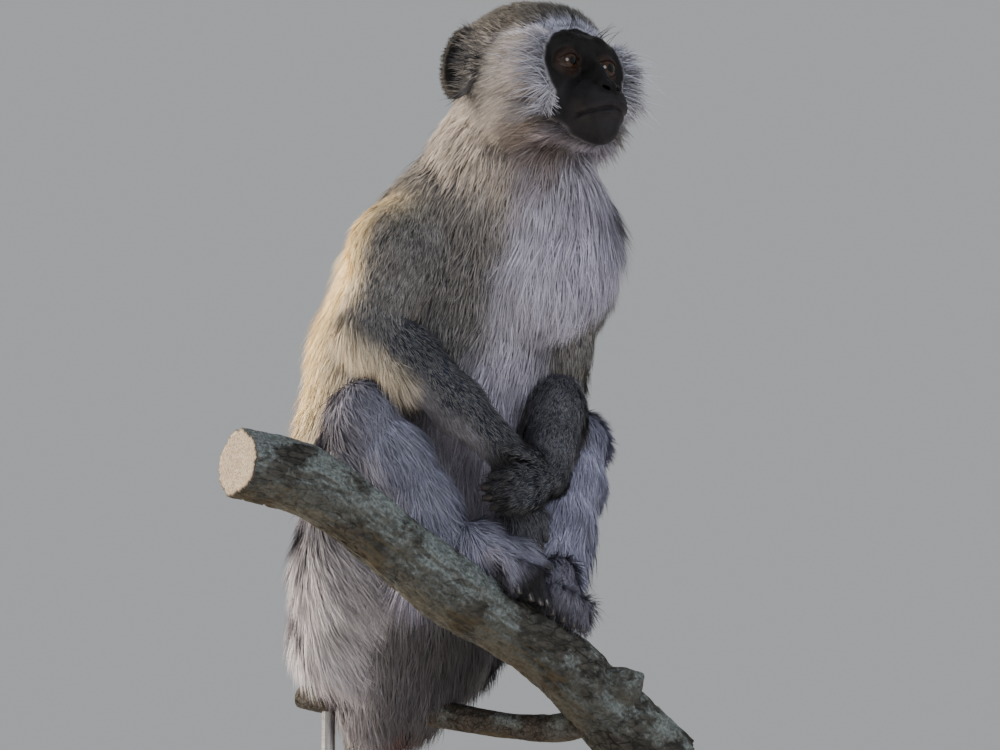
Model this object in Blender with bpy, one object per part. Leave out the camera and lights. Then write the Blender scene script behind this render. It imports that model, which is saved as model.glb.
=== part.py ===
"""A vervet monkey sitting on a forked branch, life size, on a plain display stand.

The animal faces -Y with +Z up, so its right side is -X. The origin is the centre of
the underside of the stand. All body shapes include the coat, out to the hair tips.
"""

import math

import bpy
import bmesh
from mathutils import Matrix, Vector

# Driving dimensions, in metres.
MM = 0.001
HIP = Vector((0.041, 0.058, 0.290))  # midway between the hip joints
GAP = 0.0003  # clearance between neighbouring pieces
BASE_LENGTH = 0.340
BASE_DEPTH = 0.316
BASE_HEIGHT = 0.014
BASE_CORNER = 0.018
BASE_EDGE = 0.003
ROD_RADIUS = (0.005, 0.004)
ROD_DEPTH = (0.016, 0.007)  # how far each rod enters the wood
TWIG_RADIUS = 0.0070
EYE_RADIUS = 0.0090
EYE_SPREAD = 0.0140  # from the middle plane to each eye's centre
TAIL_THICK = 0.0150
TAIL_THIN = 0.0085
FINGER = 0.0037
TOE = 0.0044


def at(x, y, z):
    """A point given in millimetres from the middle of the hips."""
    return HIP + Vector((x, y, z)) * MM


# Joints, in millimetres from the hips; the right limbs have negative x.
JOINTS = {
    "r": {
        "shoulder": (-45, -73, 226),
        "elbow": (-77, -70, 160),
        "wrist": (-15, -108, 91),
        "knuckle": (-2, -105, 65),
        "fingertip": (5, -112, 36),
        "hip": (-35, 2, 0),
        "knee": (-78, -62, 110),
        "ankle": (-37, -89, 40),
        "heel": (-42, -76, 29),
        "instep": (-28, -104, 40),
        "ball": (-22, -118, 28),
        "toe": (-16, -133, 6),
    },
    "l": {
        "shoulder": (49, -91, 223),
        "elbow": (63, -68, 137),
        "wrist": (15, -116, 76),
        "knuckle": (-11, -129, 67),
        "fingertip": (-36, -117, 63),
        "hip": (36, 2, 0),
        "knee": (81, -62, 105),
        "ankle": (41, -88, 34),
        "heel": (44, -76, 21),
        "instep": (30, -104, 23),
        "ball": (20, -117, 8),
        "toe": (11, -133, -10),
    },
}
EYE_AT = (-158.3, 300.5)  # y and z of both eyes
EAR_AT = (-47, -108, 305)  # the right ear's middle


def paint(name, colour, roughness=0.85, metallic=0.0):
    """A plain material with one colour."""
    made = bpy.data.materials.new(name)
    made.use_nodes = True
    surface = made.node_tree.nodes["Principled BSDF"]
    surface.inputs["Base Color"].default_value = (*colour, 1.0)
    surface.inputs["Roughness"].default_value = roughness
    surface.inputs["Metallic"].default_value = metallic
    made.diffuse_color = (*colour, 1.0)
    return made


def finish_mesh(bm, name):
    """Turns a bmesh into an object with faces pointing outward."""
    bmesh.ops.recalc_face_normals(bm, faces=bm.faces)
    mesh = bpy.data.meshes.new(name)
    bm.to_mesh(mesh)
    bm.free()
    mesh.shade_smooth()
    made = bpy.data.objects.new(name, mesh)
    bpy.context.scene.collection.objects.link(made)
    return made


def ring_at(bm, centre, tangent, side, wide, high, low, sides):
    """One oval ring of vertices across the tangent."""
    up = tangent.cross(side).normalized()
    across = up.cross(tangent).normalized()
    verts = []
    for k in range(sides):
        turn = 2 * math.pi * k / sides
        lift = math.sin(turn)
        reach = high if lift > 0 else low
        verts.append(bm.verts.new(centre + across * (wide * math.cos(turn)) + up * (reach * lift)))
    return verts


def dome_height(row, dome, grow):
    return (min(row[2], row[3]) - grow) * dome + grow


def dome_ring(row, dome, sign, grow):
    """The ring partway up a rounded end."""
    sizes = [(size - grow) * 0.69 + grow for size in row[2:]]
    return (row[0] + row[1] * dome_height(row, dome, grow) * 0.72 * sign, row[1], *sizes)


def loft(name, stations, sides=14, side=(1, 0, 0), domes=(0.8, 0.8), grow=0.0):
    """A closed body through oval stations (centre, half width, half height[, half depth]).

    A dome of 0 leaves that end flat; otherwise it is the cap's height over the end's size.
    """
    bm = bmesh.new()
    side = Vector(side)
    centres = [Vector(s[0]) for s in stations]
    last = len(stations) - 1
    rows = []
    for i, station in enumerate(stations):
        tangent = (centres[min(i + 1, last)] - centres[max(i - 1, 0)]).normalized()
        wide = station[1] + grow
        high = station[2] + grow
        low = (station[3] if len(station) > 3 else station[2]) + grow
        rows.append((centres[i], tangent, wide, high, low))
    spans = []
    start = rows[0]
    end = rows[last]
    if domes[0]:
        spans.append(dome_ring(start, domes[0], -1, grow))
    elif grow:
        rows[0] = (start[0] - start[1] * grow, *start[1:])
    spans += rows
    if domes[1]:
        spans.append(dome_ring(end, domes[1], 1, grow))
    elif grow:
        spans[-1] = (end[0] + end[1] * grow, *end[1:])
    rings = [ring_at(bm, c, t, side, w, h, d, sides) for c, t, w, h, d in spans]
    for first, second in zip(rings, rings[1:]):
        for k in range(sides):
            n = (k + 1) % sides
            bm.faces.new((first[k], first[n], second[n]))
            bm.faces.new((first[k], second[n], second[k]))
    for ring, row, dome, sign in ((rings[0], start, domes[0], -1), (rings[-1], end, domes[1], 1)):
        if dome:
            pole = bm.verts.new(row[0] + row[1] * dome_height(row, dome, grow) * sign)
            for k in range(sides):
                bm.faces.new((ring[k], ring[(k + 1) % sides], pole))
        else:
            bm.faces.new(ring)
    return finish_mesh(bm, name)


def ball(name, centre, radii, turn=(0, 0, 0), parts=(16, 10), grow=0.0):
    """An ellipsoid; turn is in degrees about X, Y and Z."""
    bm = bmesh.new()
    bmesh.ops.create_uvsphere(bm, u_segments=parts[0], v_segments=parts[1], radius=1.0)
    spin = Matrix.Identity(4)
    for angle, axis in zip(turn, "XYZ"):
        spin = Matrix.Rotation(math.radians(angle), 4, axis) @ spin
    size = Matrix.Diagonal((*[r + grow for r in radii], 1.0))
    bmesh.ops.transform(bm, matrix=Matrix.Translation(centre) @ spin @ size, verts=bm.verts)
    return finish_mesh(bm, name)


def helper(made):
    """Marks an object as a cutter or a guide."""
    made.hide_render = True
    made.display_type = "WIRE"
    return made


def combine(target, other, operation):
    """Adds a Boolean of the other object; all are closed, which the manifold solver needs."""
    step = target.modifiers.new(f"{operation.lower()} {other.name}", "BOOLEAN")
    step.operation = operation
    step.solver = "MANIFOLD"
    step.object = other
    helper(other)


def fused(name, shapes, grow=0.0):
    """One body from several shape functions, each called as shape(name, grow)."""
    made = shapes[0](name, grow)
    for i, shape in enumerate(shapes[1:]):
        combine(made, shape(f"{name}_add{i}", grow), "UNION")
    return made


def bounds(made):
    """The lowest and highest corner of an object with its modifiers."""
    bpy.context.view_layer.update()
    shown = made.evaluated_get(bpy.context.evaluated_depsgraph_get())
    corners = [Vector(c) for c in shown.bound_box]
    return [[pick(c[k] for c in corners) for k in range(3)] for pick in (min, max)]


def boxes_meet(a, b):
    return all(a[0][k] - GAP < b[1][k] and b[0][k] - GAP < a[1][k] for k in range(3))


def limb(points, sides=14, side=(1, 0, 0), domes=(0.8, 0.8)):
    """A shape function for a loft through ((x, y, z), wide, high[, low]) given in millimetres."""
    stations = [(at(*p[0]), *[v * MM for v in p[1:]]) for p in points]
    return lambda name, grow: loft(name, stations, sides, side, domes, grow)


def lump(centre, radii, turn=(0, 0, 0), parts=(16, 10)):
    """A shape function for an ellipsoid given in millimetres."""
    sizes = [r * MM for r in radii]
    return lambda name, grow: ball(name, at(*centre), sizes, turn, parts, grow)


def mix(a, b, share):
    """A point between two, in millimetres."""
    return tuple(p + (q - p) * share for p, q in zip(a, b))


def shifted(a, dx=0.0, dy=0.0, dz=0.0):
    return (a[0] + dx, a[1] + dy, a[2] + dz)


# The perch: a thick branch that slopes down to the animal's left, and a twig under the rump.
# Each station of the branch is its x, the height of its centre and its radius, in millimetres.
BRANCH_LINE = ((-186, 71, 18.5), (-150, 67.5, 19.5), (-134, 62, 19.5), (-109, 46.5, 18.5), (-85, 30, 18.5),
               (-60, 12.5, 20.5), (-33, -0.5, 19), (-5, -11.5, 18.5), (24, -27, 19.5), (52, -49, 22), (64, -59, 23),
               (96, -85, 23.5))


def branch_at(x):
    """The branch's centre line over the given x, in millimetres."""
    for (x0, z0, _), (x1, z1, _) in zip(BRANCH_LINE, BRANCH_LINE[1:]):
        if x <= x1:
            break
    return (x, -101 - (x + 137) * 0.081 + 2.2 * math.sin(x / 31.0), z0 + (z1 - z0) * (x - x0) / (x1 - x0))


def branch_shape(name, grow):
    stations = [(at(*branch_at(x)), radius * MM, radius * MM * 0.97) for x, _, radius in BRANCH_LINE]
    return loft(name, stations, 14, (0, 1, 0), (0, 0), grow)


def knob_shape(name, grow):
    return ball(name, at(*shifted(branch_at(56), 0, -16, 12)), (0.013, 0.013, 0.012), (0, 30, 0), (12, 8), grow)


TWIG_LINE = ((-31, 56, -43), (-24, 38, -46), (-12, 12, -50), (-1, -14, -52.5), (12, -42, -57), (26, -72, -62),
             (38, -98, -63), (47, -112, -58))


def twig_shape(name, grow):
    stations = []
    for i, p in enumerate(TWIG_LINE):
        radius = TWIG_RADIUS * (1 + 0.06 * math.sin(i * 2.3)) * (0.96 + 0.035 * i)
        stations.append((at(*p), radius, radius))
    return loft(name, stations, 10, (1, 0, 0), (0, 0.6), grow)


# The trunk, from the rump up to the shoulders: centre, half width, half depth behind and in front.
TRUNK = (
    ((0, 12, -38), 36, 36),
    ((0, 4, -22), 50, 52),
    ((0, -2, 6), 58, 58),
    ((0, -9, 56), 62, 66, 59),
    ((0, -17, 106), 65, 71, 62),
    ((0, -31, 150), 66, 73, 66),
    ((1, -50, 188), 66, 72, 70),
    ((2, -69, 216), 64, 63, 67),
    ((1, -82, 234), 58, 53, 60),
    ((0, -89, 247), 47, 42, 50),
)
NECK = (
    ((0, -86, 236), 40, 39, 46),
    ((0, -92, 250), 45, 43, 52),
    ((0, -99, 265), 45, 43, 52),
    ((0, -107, 279), 41, 40, 46),
)
# The head from the back of the skull to the face: centre, half width, half height up and down.
# The widest level lies low, where the cheek hair fans out.
SKULL = (
    ((0, -78, 293), 28, 30, 21),
    ((0, -88, 293), 38, 42.5, 29),
    ((0, -102, 293), 43, 50, 35),
    ((0, -117, 292), 46, 53.5, 36.5),
    ((0, -131, 290), 50, 56, 36),
    ((0, -143, 288), 52, 54, 34),
    ((0, -151, 287), 49, 50, 33),
    ((0, -157, 287), 42, 44, 32),
    ((0, -162, 288), 33, 35, 30),
)
MUZZLE = (
    ((0, -152, 277), 23, 17, 20),
    ((0, -161, 276.5), 22, 18.5, 21),
    ((0, -168, 275.5), 20, 17.5, 20),
    ((0, -175, 274.5), 17.5, 15, 17.5),
    ((0, -182, 273.5), 14.5, 12, 14),
    ((0, -187, 273.5), 10.5, 8.5, 9.5),
)
NOSE = (
    ((0, -161, 303), 6, 5),
    ((0, -171, 293.5), 6.5, 5.5),
    ((0, -180, 284), 8, 5.5),
)


def cheekbone(sign):
    return lump((sign * 19, -155.5, 290.5), (13, 10.5, 11.5), (0, 0, 0), (10, 6))


def brow(name, grow):
    return ball(name, at(0, -157, 311.5), (0.029, 0.011, 0.0078), (0, 0, 0), (12, 6), grow)


def eyeball(sign):
    return lump((sign * EYE_SPREAD / MM, *EYE_AT), (EYE_RADIUS / MM,) * 3, (90, 0, 0), (12, 7))


def socket(sign):
    """The shallow hollow under the brow around one eye."""
    return lump((sign * (EYE_SPREAD / MM + 0.5), EYE_AT[0] - 12.5, EYE_AT[1]), (10.5, 6.5, 8), (0, 0, 0), (14, 8))


def ear(sign):
    """A thin upright shell that stands out from the side of the head."""
    x, y, z = EAR_AT
    return lump((-sign * x, y, z), (4.2, 12.5, 21.5), (6, -8 * sign, 26 * -sign), (12, 8))


def upper_arm(j):
    s, e = j["shoulder"], j["elbow"]
    out = math.copysign(4, s[0])
    return [limb(((shifted(s, -out), 25, 25), (shifted(mix(s, e, 0.3), out * 1.4), 28, 27), (mix(s, e, 0.66), 24, 24),
                  (e, 19, 19)), sides=12)]


def forearm(j):
    e, w = j["elbow"], j["wrist"]
    start = mix(e, w, 0.05)
    return [limb(((start, 18, 20), (mix(e, w, 0.3), 20, 21), (mix(e, w, 0.65), 17, 17), (mix(e, w, 0.97), 13, 13)),
                 sides=12, side=(0, 0, 1))]


def digits(start, end, spread, bend, radius, count, lengths):
    """Separate fingers or toes that leave a row of knuckles side by side."""
    made = []
    middle = (count - 1) / 2
    for i in range(count):
        k = i - middle
        root = tuple(a + s * k for a, s in zip(start, spread))
        tip = tuple(a + (b - a) * lengths[i] + s * k * 1.12 for a, b, s in zip(start, end, spread))
        knee = tuple((a + b) / 2 + c for a, b, c in zip(root, tip, bend))
        made.append(limb(((root, radius, radius), (knee, radius, radius), (tip, radius * 0.84, radius * 0.84)),
                         sides=6, side=(0.3, 0.2, 1), domes=(0, 0.8)))
    return made


def hand(j, side):
    w, k, f = j["wrist"], j["knuckle"], j["fingertip"]
    if side == "r":
        palm = limb(((w, 10.5, 9), (mix(w, k, 0.5), 12.5, 8.5), (k, 13.5, 7)), sides=10, side=(1, 0.1, 0.5))
        fingers = digits(shifted(k, 0, 0, 1), f, (6.1, 0.6, 1.2), (0, -3, 0), FINGER / MM, 4, (0.86, 1.0, 0.97, 0.8))
        thumb = limb(((mix(w, k, 0.35), 4.4, 4.4), (shifted(k, -12, 0, 3), 4, 4), (shifted(k, -13, -3, -10), 3.4, 3.4)),
                     sides=6, side=(0, 1, 0))
        return [palm, *fingers, thumb]
    palm = limb(((w, 10.5, 9), (mix(w, k, 0.5), 12.5, 8.5), (k, 13.5, 7)), sides=10, side=(0.2, 0, 1))
    fingers = digits(shifted(k, 2, 0, 0), f, (0.6, 0.6, 6.2), (-4, -7, 0), FINGER / MM, 4, (0.8, 0.96, 1.0, 0.84))
    thumb = limb(((mix(w, k, 0.35), 4.4, 4.4), (shifted(k, 4, 1, 16), 4, 4), (shifted(k, -8, 2, 20), 3.4, 3.4)),
                 sides=6, side=(0, 1, 0))
    return [palm, *fingers, thumb]


def thigh(j):
    h, k = j["hip"], j["knee"]
    return [limb((
        (shifted(mix(h, k, -0.02), 0, 4, -6), 36, 38),
        (mix(h, k, 0.22), 36, 38),
        (mix(h, k, 0.5), 31, 34),
        (mix(h, k, 0.78), 26, 28),
        (mix(h, k, 0.98), 21, 22),
    ), sides=12)]


def shin(j):
    k, a = j["knee"], j["ankle"]
    return [limb((
        (shifted(mix(k, a, 0.05), 0, -2, 0), 21, 22),
        (mix(k, a, 0.3), 24, 25),
        (mix(k, a, 0.6), 23, 24),
        (mix(k, a, 0.84), 19, 19),
        (mix(k, a, 0.95), 12, 12),
    ), sides=12, domes=(0.8, 0.2))]


def foot(j, sign):
    h, a, i, b, t = (j[n] for n in ("heel", "ankle", "instep", "ball", "toe"))
    sole = limb((
        (h, 10, 9),
        (shifted(mix(h, i, 0.45), 0, 0, 1), 13, 11),
        (i, 15, 12),
        (b, 15, 9),
    ), sides=10)
    joint = lump(a, (15, 14, 15), parts=(10, 6))
    toes = digits(shifted(b, 0, -3, -1), t, (6.6, 0, -2.2), (0, -3, 5), TOE / MM, 4, (0.94, 1.0, 0.97, 0.86)[::-sign])
    big = limb(((mix(i, b, 0.3), 5.5, 5.5), (shifted(mix(i, b, 0.6), -15 * sign, -4, 2), 5.2, 5.2),
                (shifted(b, -19 * sign, -9, -4), 4.4, 4.4)), sides=6, side=(0, 1, 0))
    return [sole, joint, *toes, big]


# The tail hangs behind the twig and then lies on the stand in one wide bend.
def tail_point(share):
    """The tail's centre line, in millimetres; share runs from 0 at the root to 1 at the tip."""
    floor = (BASE_HEIGHT - HIP.z) / MM + TAIL_THIN / MM + 2.2
    drop = 0.47
    if share < drop:
        s = share / drop
        return (4 + 15 * s, 30 + 26 * math.sin(s * 2.2), -22 + (floor + 22 + 16) * s)
    s = (share - drop) / (1 - drop)
    turn = 1.25 * math.pi * s
    sink = floor + 16 * (1 - min(s / 0.22, 1)) ** 2
    return (19 + 62 * math.sin(turn * 0.72), 51 - 62 * (1 - math.cos(turn * 0.72)) * 0.98, sink)


def tail_part(first, last, domes):
    steps = 6
    points = []
    for i in range(steps + 1):
        share = first + (last - first) * i / steps
        radius = TAIL_THIN + (TAIL_THICK - TAIL_THIN) * (1 - share) ** 1.6
        points.append((tail_point(share), radius / MM, radius / MM))
    return [limb(points, sides=10, side=(0.2, 0.35, 0.1), domes=domes)]


def rod_shape(x, y, top, radius, depth):
    """A vertical rod from the base up into the wood, its foot sunk in the base."""
    foot_z = BASE_HEIGHT - 0.006
    reach = HIP.z + top * MM + depth - foot_z

    def shape(name, grow):
        bm = bmesh.new()
        bmesh.ops.create_cone(bm, cap_ends=True, segments=16, radius1=radius + grow, radius2=radius + grow,
                              depth=reach + 2 * grow)
        spot = Vector((HIP.x + x * MM, HIP.y + y * MM, foot_z + reach / 2))
        bmesh.ops.transform(bm, matrix=Matrix.Translation(spot), verts=bm.verts)
        return finish_mesh(bm, name)

    return shape


def base_shape(name, grow):
    """The stand's plate: a block with rounded corners and softened edges."""
    bm = bmesh.new()
    bmesh.ops.create_cube(bm, size=1.0)
    size = Matrix.Diagonal((BASE_LENGTH, BASE_DEPTH, BASE_HEIGHT, 1.0))
    lift = Matrix.Translation((0, 0, BASE_HEIGHT / 2))
    bmesh.ops.transform(bm, matrix=lift @ size, verts=bm.verts)
    upright = [e for e in bm.edges if abs(e.verts[0].co.z - e.verts[1].co.z) > BASE_HEIGHT / 2]
    bmesh.ops.bevel(bm, geom=upright, offset=BASE_CORNER, segments=3, profile=0.5, affect="EDGES")
    rim = [e for e in bm.edges if all(v.co.z > BASE_HEIGHT - 1e-5 for v in e.verts)]
    bmesh.ops.bevel(bm, geom=rim, offset=BASE_EDGE, segments=2, profile=0.5, affect="EDGES")
    return finish_mesh(bm, name)


def build():
    """Makes every piece; each one gives way to the pieces listed before it."""
    j_r, j_l = JOINTS["r"], JOINTS["l"]
    rods = (
        rod_shape(64, branch_at(64)[1], branch_at(64)[2] - 26, ROD_RADIUS[0], ROD_DEPTH[0]),
        rod_shape(-24, 38, -46 - 6, ROD_RADIUS[1], ROD_DEPTH[1]),
    )
    shapes = {
        "stand_rod_front": [rods[0]],
        "stand_rod_rear": [rods[1]],
        "stand_base": [base_shape],
        "perch_branch": [branch_shape, knob_shape],
        "perch_twig": [twig_shape],
        "eye_r": [eyeball(-1)],
        "eye_l": [eyeball(1)],
        "ear_r": [ear(-1)],
        "ear_l": [ear(1)],
        "head": [limb(SKULL, sides=16, domes=(0.5, 0.16)), limb(MUZZLE, sides=12, domes=(0.1, 0.35)),
                 limb(NOSE, sides=8, domes=(0.2, 0.5)), cheekbone(-1), cheekbone(1), brow],
        "neck": [limb(NECK, sides=12)],
        "hand_r": hand(j_r, "r"),
        "hand_l": hand(j_l, "l"),
        "forearm_r": forearm(j_r),
        "forearm_l": forearm(j_l),
        "upper_arm_r": upper_arm(j_r),
        "upper_arm_l": upper_arm(j_l),
        "foot_r": foot(j_r, -1),
        "foot_l": foot(j_l, 1),
        "shin_r": shin(j_r),
        "shin_l": shin(j_l),
        "thigh_r": thigh(j_r),
        "thigh_l": thigh(j_l),
        "tail_1": tail_part(0.0, 0.24, (0.8, 0)),
        "tail_2": tail_part(0.24, 0.5, (0, 0)),
        "tail_3": tail_part(0.5, 0.75, (0, 0)),
        "tail_4": tail_part(0.75, 1.0, (0, 1.4)),
        "trunk": [limb(TRUNK, sides=16)],
    }
    fur_grey = (0.20, 0.19, 0.16)
    colours = {
        "stand_rod": ((0.30, 0.30, 0.31), 0.35, 1.0),
        "stand_base": ((0.045, 0.028, 0.018), 0.4, 0.0),
        "perch": ((0.075, 0.062, 0.048), 0.9, 0.0),
        "eye": ((0.035, 0.016, 0.008), 0.1, 0.0),
        "ear": ((0.018, 0.016, 0.015), 0.8, 0.0),
        "head": (fur_grey, 0.9, 0.0),
        "neck": ((0.36, 0.33, 0.28), 0.9, 0.0),
        "hand": ((0.02, 0.02, 0.023), 0.8, 0.0),
        "foot": ((0.02, 0.02, 0.023), 0.8, 0.0),
        "forearm": ((0.07, 0.075, 0.085), 0.9, 0.0),
        "upper_arm": ((0.11, 0.11, 0.11), 0.9, 0.0),
        "shin": ((0.17, 0.165, 0.17), 0.9, 0.0),
        "thigh": ((0.18, 0.17, 0.165), 0.9, 0.0),
        "tail": ((0.15, 0.145, 0.14), 0.9, 0.0),
        "trunk": ((0.24, 0.215, 0.16), 0.9, 0.0),
    }
    sockets = [fused("socket_r", [socket(-1)]), fused("socket_l", [socket(1)])]
    done = []
    for name, parts in shapes.items():
        made = fused(name, parts)
        key = max((k for k in colours if name.startswith(k)), key=len)
        made.data.materials.append(paint(name, *colours[key]))
        if name == "head":
            for hollow in sockets:
                combine(made, hollow, "DIFFERENCE")
        box = bounds(made)
        for clear, other_box in done:
            if boxes_meet(box, other_box):
                combine(made, clear, "DIFFERENCE")
        done.append((helper(fused(f"{name}_clear", parts, GAP)), box))


for old in list(bpy.data.objects):
    bpy.data.objects.remove(old, do_unlink=True)
build()
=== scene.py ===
import math

import bmesh
import bpy
import numpy as np
from mathutils import Matrix, Vector, noise


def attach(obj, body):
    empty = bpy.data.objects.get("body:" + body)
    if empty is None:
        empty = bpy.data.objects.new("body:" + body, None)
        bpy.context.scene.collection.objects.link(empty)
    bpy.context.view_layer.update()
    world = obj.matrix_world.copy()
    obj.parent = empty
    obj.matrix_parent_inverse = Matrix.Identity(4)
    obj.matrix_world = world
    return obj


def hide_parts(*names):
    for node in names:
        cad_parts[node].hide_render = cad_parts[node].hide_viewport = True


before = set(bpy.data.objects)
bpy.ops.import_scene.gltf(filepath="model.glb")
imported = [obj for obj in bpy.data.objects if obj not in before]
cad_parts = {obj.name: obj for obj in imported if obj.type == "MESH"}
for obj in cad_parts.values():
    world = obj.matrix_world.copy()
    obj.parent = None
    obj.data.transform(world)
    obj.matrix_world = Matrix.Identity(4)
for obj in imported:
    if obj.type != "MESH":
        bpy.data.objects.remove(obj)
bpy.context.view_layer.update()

rng = np.random.default_rng(7)
hip = np.array([41.0, 58.0, 290.0])  # the point between the hip joints; every body length below is in mm from it


def vec(*p):
    return np.array(p, float)


def mix(a, b, share):
    return a + (b - a) * share


joints = {
    "R": {
        "shoulder": vec(-45, -73, 226), "elbow": vec(-77, -70, 160), "wrist": vec(-15, -108, 91),
        "knuckle": vec(-2, -105, 65), "fingertip": vec(5, -112, 36), "hip": vec(-35, 2, 0),
        "knee": vec(-78, -62, 110), "ankle": vec(-37, -89, 40), "heel": vec(-42, -76, 29),
        "instep": vec(-28, -104, 40), "ball": vec(-22, -118, 28), "toe": vec(-16, -133, 6),
    },
    "L": {
        "shoulder": vec(49, -91, 223), "elbow": vec(59, -69, 137), "wrist": vec(15, -116, 76),
        "knuckle": vec(-11, -129, 67), "fingertip": vec(-36, -117, 63), "hip": vec(36, 2, 0),
        "knee": vec(81, -62, 105), "ankle": vec(41, -88, 34), "heel": vec(44, -76, 21),
        "instep": vec(30, -104, 23), "ball": vec(20, -117, 8), "toe": vec(11, -133, -10),
    },
}
sides = {"R": -1, "L": 1}


body = {  # what shapes the flesh under the coat
    "webbing": 1.4,  # mm of blend where separate limbs touch
    "eyeSpread": 14.0,
    "eyeAt": (-158.3, 300.5),
    "eyeRadius": 9.0,
    "lidThickness": 1.15,
    "lidOpening": (7.6, 4.15),
    "earAt": (46.5, -108.5, 304.6),
    "earRadii": (3.1, 11.4, 21.2),
}
shapes = []


def smoothMin(a, b, k):
    h = np.maximum(k - np.abs(a - b), 0.0) / k
    return np.minimum(a, b) - h * h * k * 0.25


def turnMatrix(degrees):
    m = Matrix.Identity(3)
    for angle, axis in zip(degrees, "XYZ"):
        m = Matrix.Rotation(math.radians(angle), 3, axis) @ m
    return np.array(m)


def addCone(tag, group, a, b, ra, rb, blend=6.0):
    a, b = vec(*a), vec(*b)
    r = max(ra, rb) + blend
    shapes.append(dict(kind="cone", tag=tag, group=group, a=a, b=b, ra=ra, rb=rb, blend=blend,
                       lo=np.minimum(a, b) - r, hi=np.maximum(a, b) + r))


def addEgg(tag, group, centre, radii, turn=(0, 0, 0), blend=6.0):
    centre, radii = vec(*centre), vec(*radii)
    r = radii.max() + blend
    shapes.append(dict(kind="egg", tag=tag, group=group, centre=centre, radii=radii, turn=turnMatrix(turn),
                       blend=blend, lo=centre - r, hi=centre + r))


def addChain(tag, group, points, blend=6.0):
    for p, q in zip(points, points[1:]):
        addCone(tag, group, p[:3], q[:3], p[3], q[3], blend)


def distanceTo(p, s):
    if s["kind"] == "cone":
        ba = s["b"] - s["a"]
        pa = p - s["a"]
        h = np.clip(pa @ ba / max(ba @ ba, 1e-6), 0, 1)
        off = pa - h[:, None] * ba
        return np.sqrt((off * off).sum(1)) - (s["ra"] + (s["rb"] - s["ra"]) * h)
    q = (p - s["centre"]) @ s["turn"]
    q1 = q / s["radii"]
    k0 = np.sqrt((q1 * q1).sum(1)) + 1e-9
    q2 = q1 / s["radii"]
    k1 = np.sqrt((q2 * q2).sum(1)) + 1e-9
    return k0 * (k0 - 1.0) / k1


def buildFlesh():
    trunkLine = [(0, 12, -36, 28), (0, 5, -18, 41), (0, -2, 8, 49), (0, -4, 56, 54), (0, -9, 106, 59),
                 (0, -24, 150, 60), (1, -46, 187, 60), (2, -68, 213, 55), (1, -84, 231, 46)]
    addChain("trunk", "core", trunkLine, 12)
    addEgg("trunk", "core", (18, -113, 211), (39, 32, 42), blend=14)
    addEgg("neck", "core", (6, -124, 240), (27, 24, 24), blend=14)
    addChain("neck", "core", [(0, -86, 232, 41), (0, -95, 250, 37.5), (0, -103, 265, 36), (0, -110, 282, 33)], 12)
    addCone("neck", "core", (0, -104, 244), (0, -128, 268), 26, 20, 12)
    for side, s in sides.items():
        j = joints[side]
        arm, leg = "arm" + side, "leg" + side
        sh, el, wr = j["shoulder"], j["elbow"], j["wrist"]
        out = vec(4 * s, 0, 0)
        for group, blend in (("core", 12), (arm, 6)):
            addCone("upperArm" + side, group, sh - out, mix(sh, el, 0.35) + out, 20, 22.5, blend)
            addCone("upperArm" + side, group, mix(sh, el, 0.35) + out, mix(sh, el, 0.7), 22.5, 18, blend)
        addCone("upperArm" + side, arm, mix(sh, el, 0.7), el, 18, 14, 6)
        addEgg("forearm" + side, arm, el + vec(s * 2, 3, -1), (11, 11, 11), blend=6)
        addChain("forearm" + side, arm, [(*el, 14), (*mix(el, wr, 0.28), 16.5), (*mix(el, wr, 0.65), 13.5),
                                         (*wr, 10)], 6)
        h, k, a = j["hip"], j["knee"], j["ankle"]
        for group, blend in (("core", 12), (leg, 8)):
            addChain("thigh" + side, group,
                     [(*(h + vec(0, 3, -4)), 29), (*mix(h, k, 0.3), 28.5), (*mix(h, k, 0.6), 24)], blend)
        addChain("thigh" + side, leg, [(*mix(h, k, 0.6), 24), (*k, 15.5)], 8)
        addEgg("shin" + side, leg, k + vec(0, -5, 2), (12, 11, 13), blend=7)
        addChain("shin" + side, leg, [(*k, 14.5), (*mix(k, a, 0.3), 18), (*mix(k, a, 0.65), 15.5), (*a, 10.5)], 6)
        buildFoot(side, s)
        buildHand(side, s)
    tailLine = [(*tailPoint(i / 22), 4.0 + 7.5 * (1 - i / 22) ** 2.2) for i in range(23)]
    addChain("tail", "core", tailLine[:6], 10)
    addChain("tail", "tail", tailLine[5:], 0.6)
    buildHead()


digits = {  # radii along a finger or toe, radii of its knuckles, size of the nail; then the same for the thumb
    "hand": {"radii": (4.6, 4.0, 3.9, 3.4, 3.4, 2.9), "knuckles": ((4.3, 4.3, 4.3), (3.7, 3.7, 3.7)), "nail": 2.5,
             "thumb": (5.4, 4.0, 3.9, 3.0), "thumbBlend": 1.2, "thumbNail": 2.6},
    "foot": {"radii": (5.6, 4.6, 4.5, 4.1, 4.1, 3.5), "knuckles": ((4.9, 4.9, 4.7), (4.4, 4.4, 4.4)), "nail": 2.9,
             "thumb": (6.2, 5.0, 5.0, 3.9), "thumbBlend": 1.5, "thumbNail": 3.2},
}


def addDigit(kind, side, group, base, root, knee, tip, up):
    size, tag = digits[kind], kind + side
    points = (base, root, knee, tip)
    for i, blend in enumerate((3.5, 1.2, 1.2)):
        addCone(tag, group, points[i], points[i + 1], *size["radii"][2 * i:2 * i + 2], blend)
    for point, radii, blend in zip((root, knee), size["knuckles"], (1.5, 1.2)):
        addEgg(tag, group, point, radii, blend=blend)
    nails.append((tip, tip - knee, up, size["nail"]))


def addThumb(kind, side, group, base, knee, tip, up):
    size, tag = digits[kind], kind + side
    addCone(tag, group, base, knee, *size["thumb"][:2], 4)
    addCone(tag, group, knee, tip, *size["thumb"][2:], size["thumbBlend"])
    nails.append((tip, tip - knee, up, size["thumbNail"]))


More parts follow.
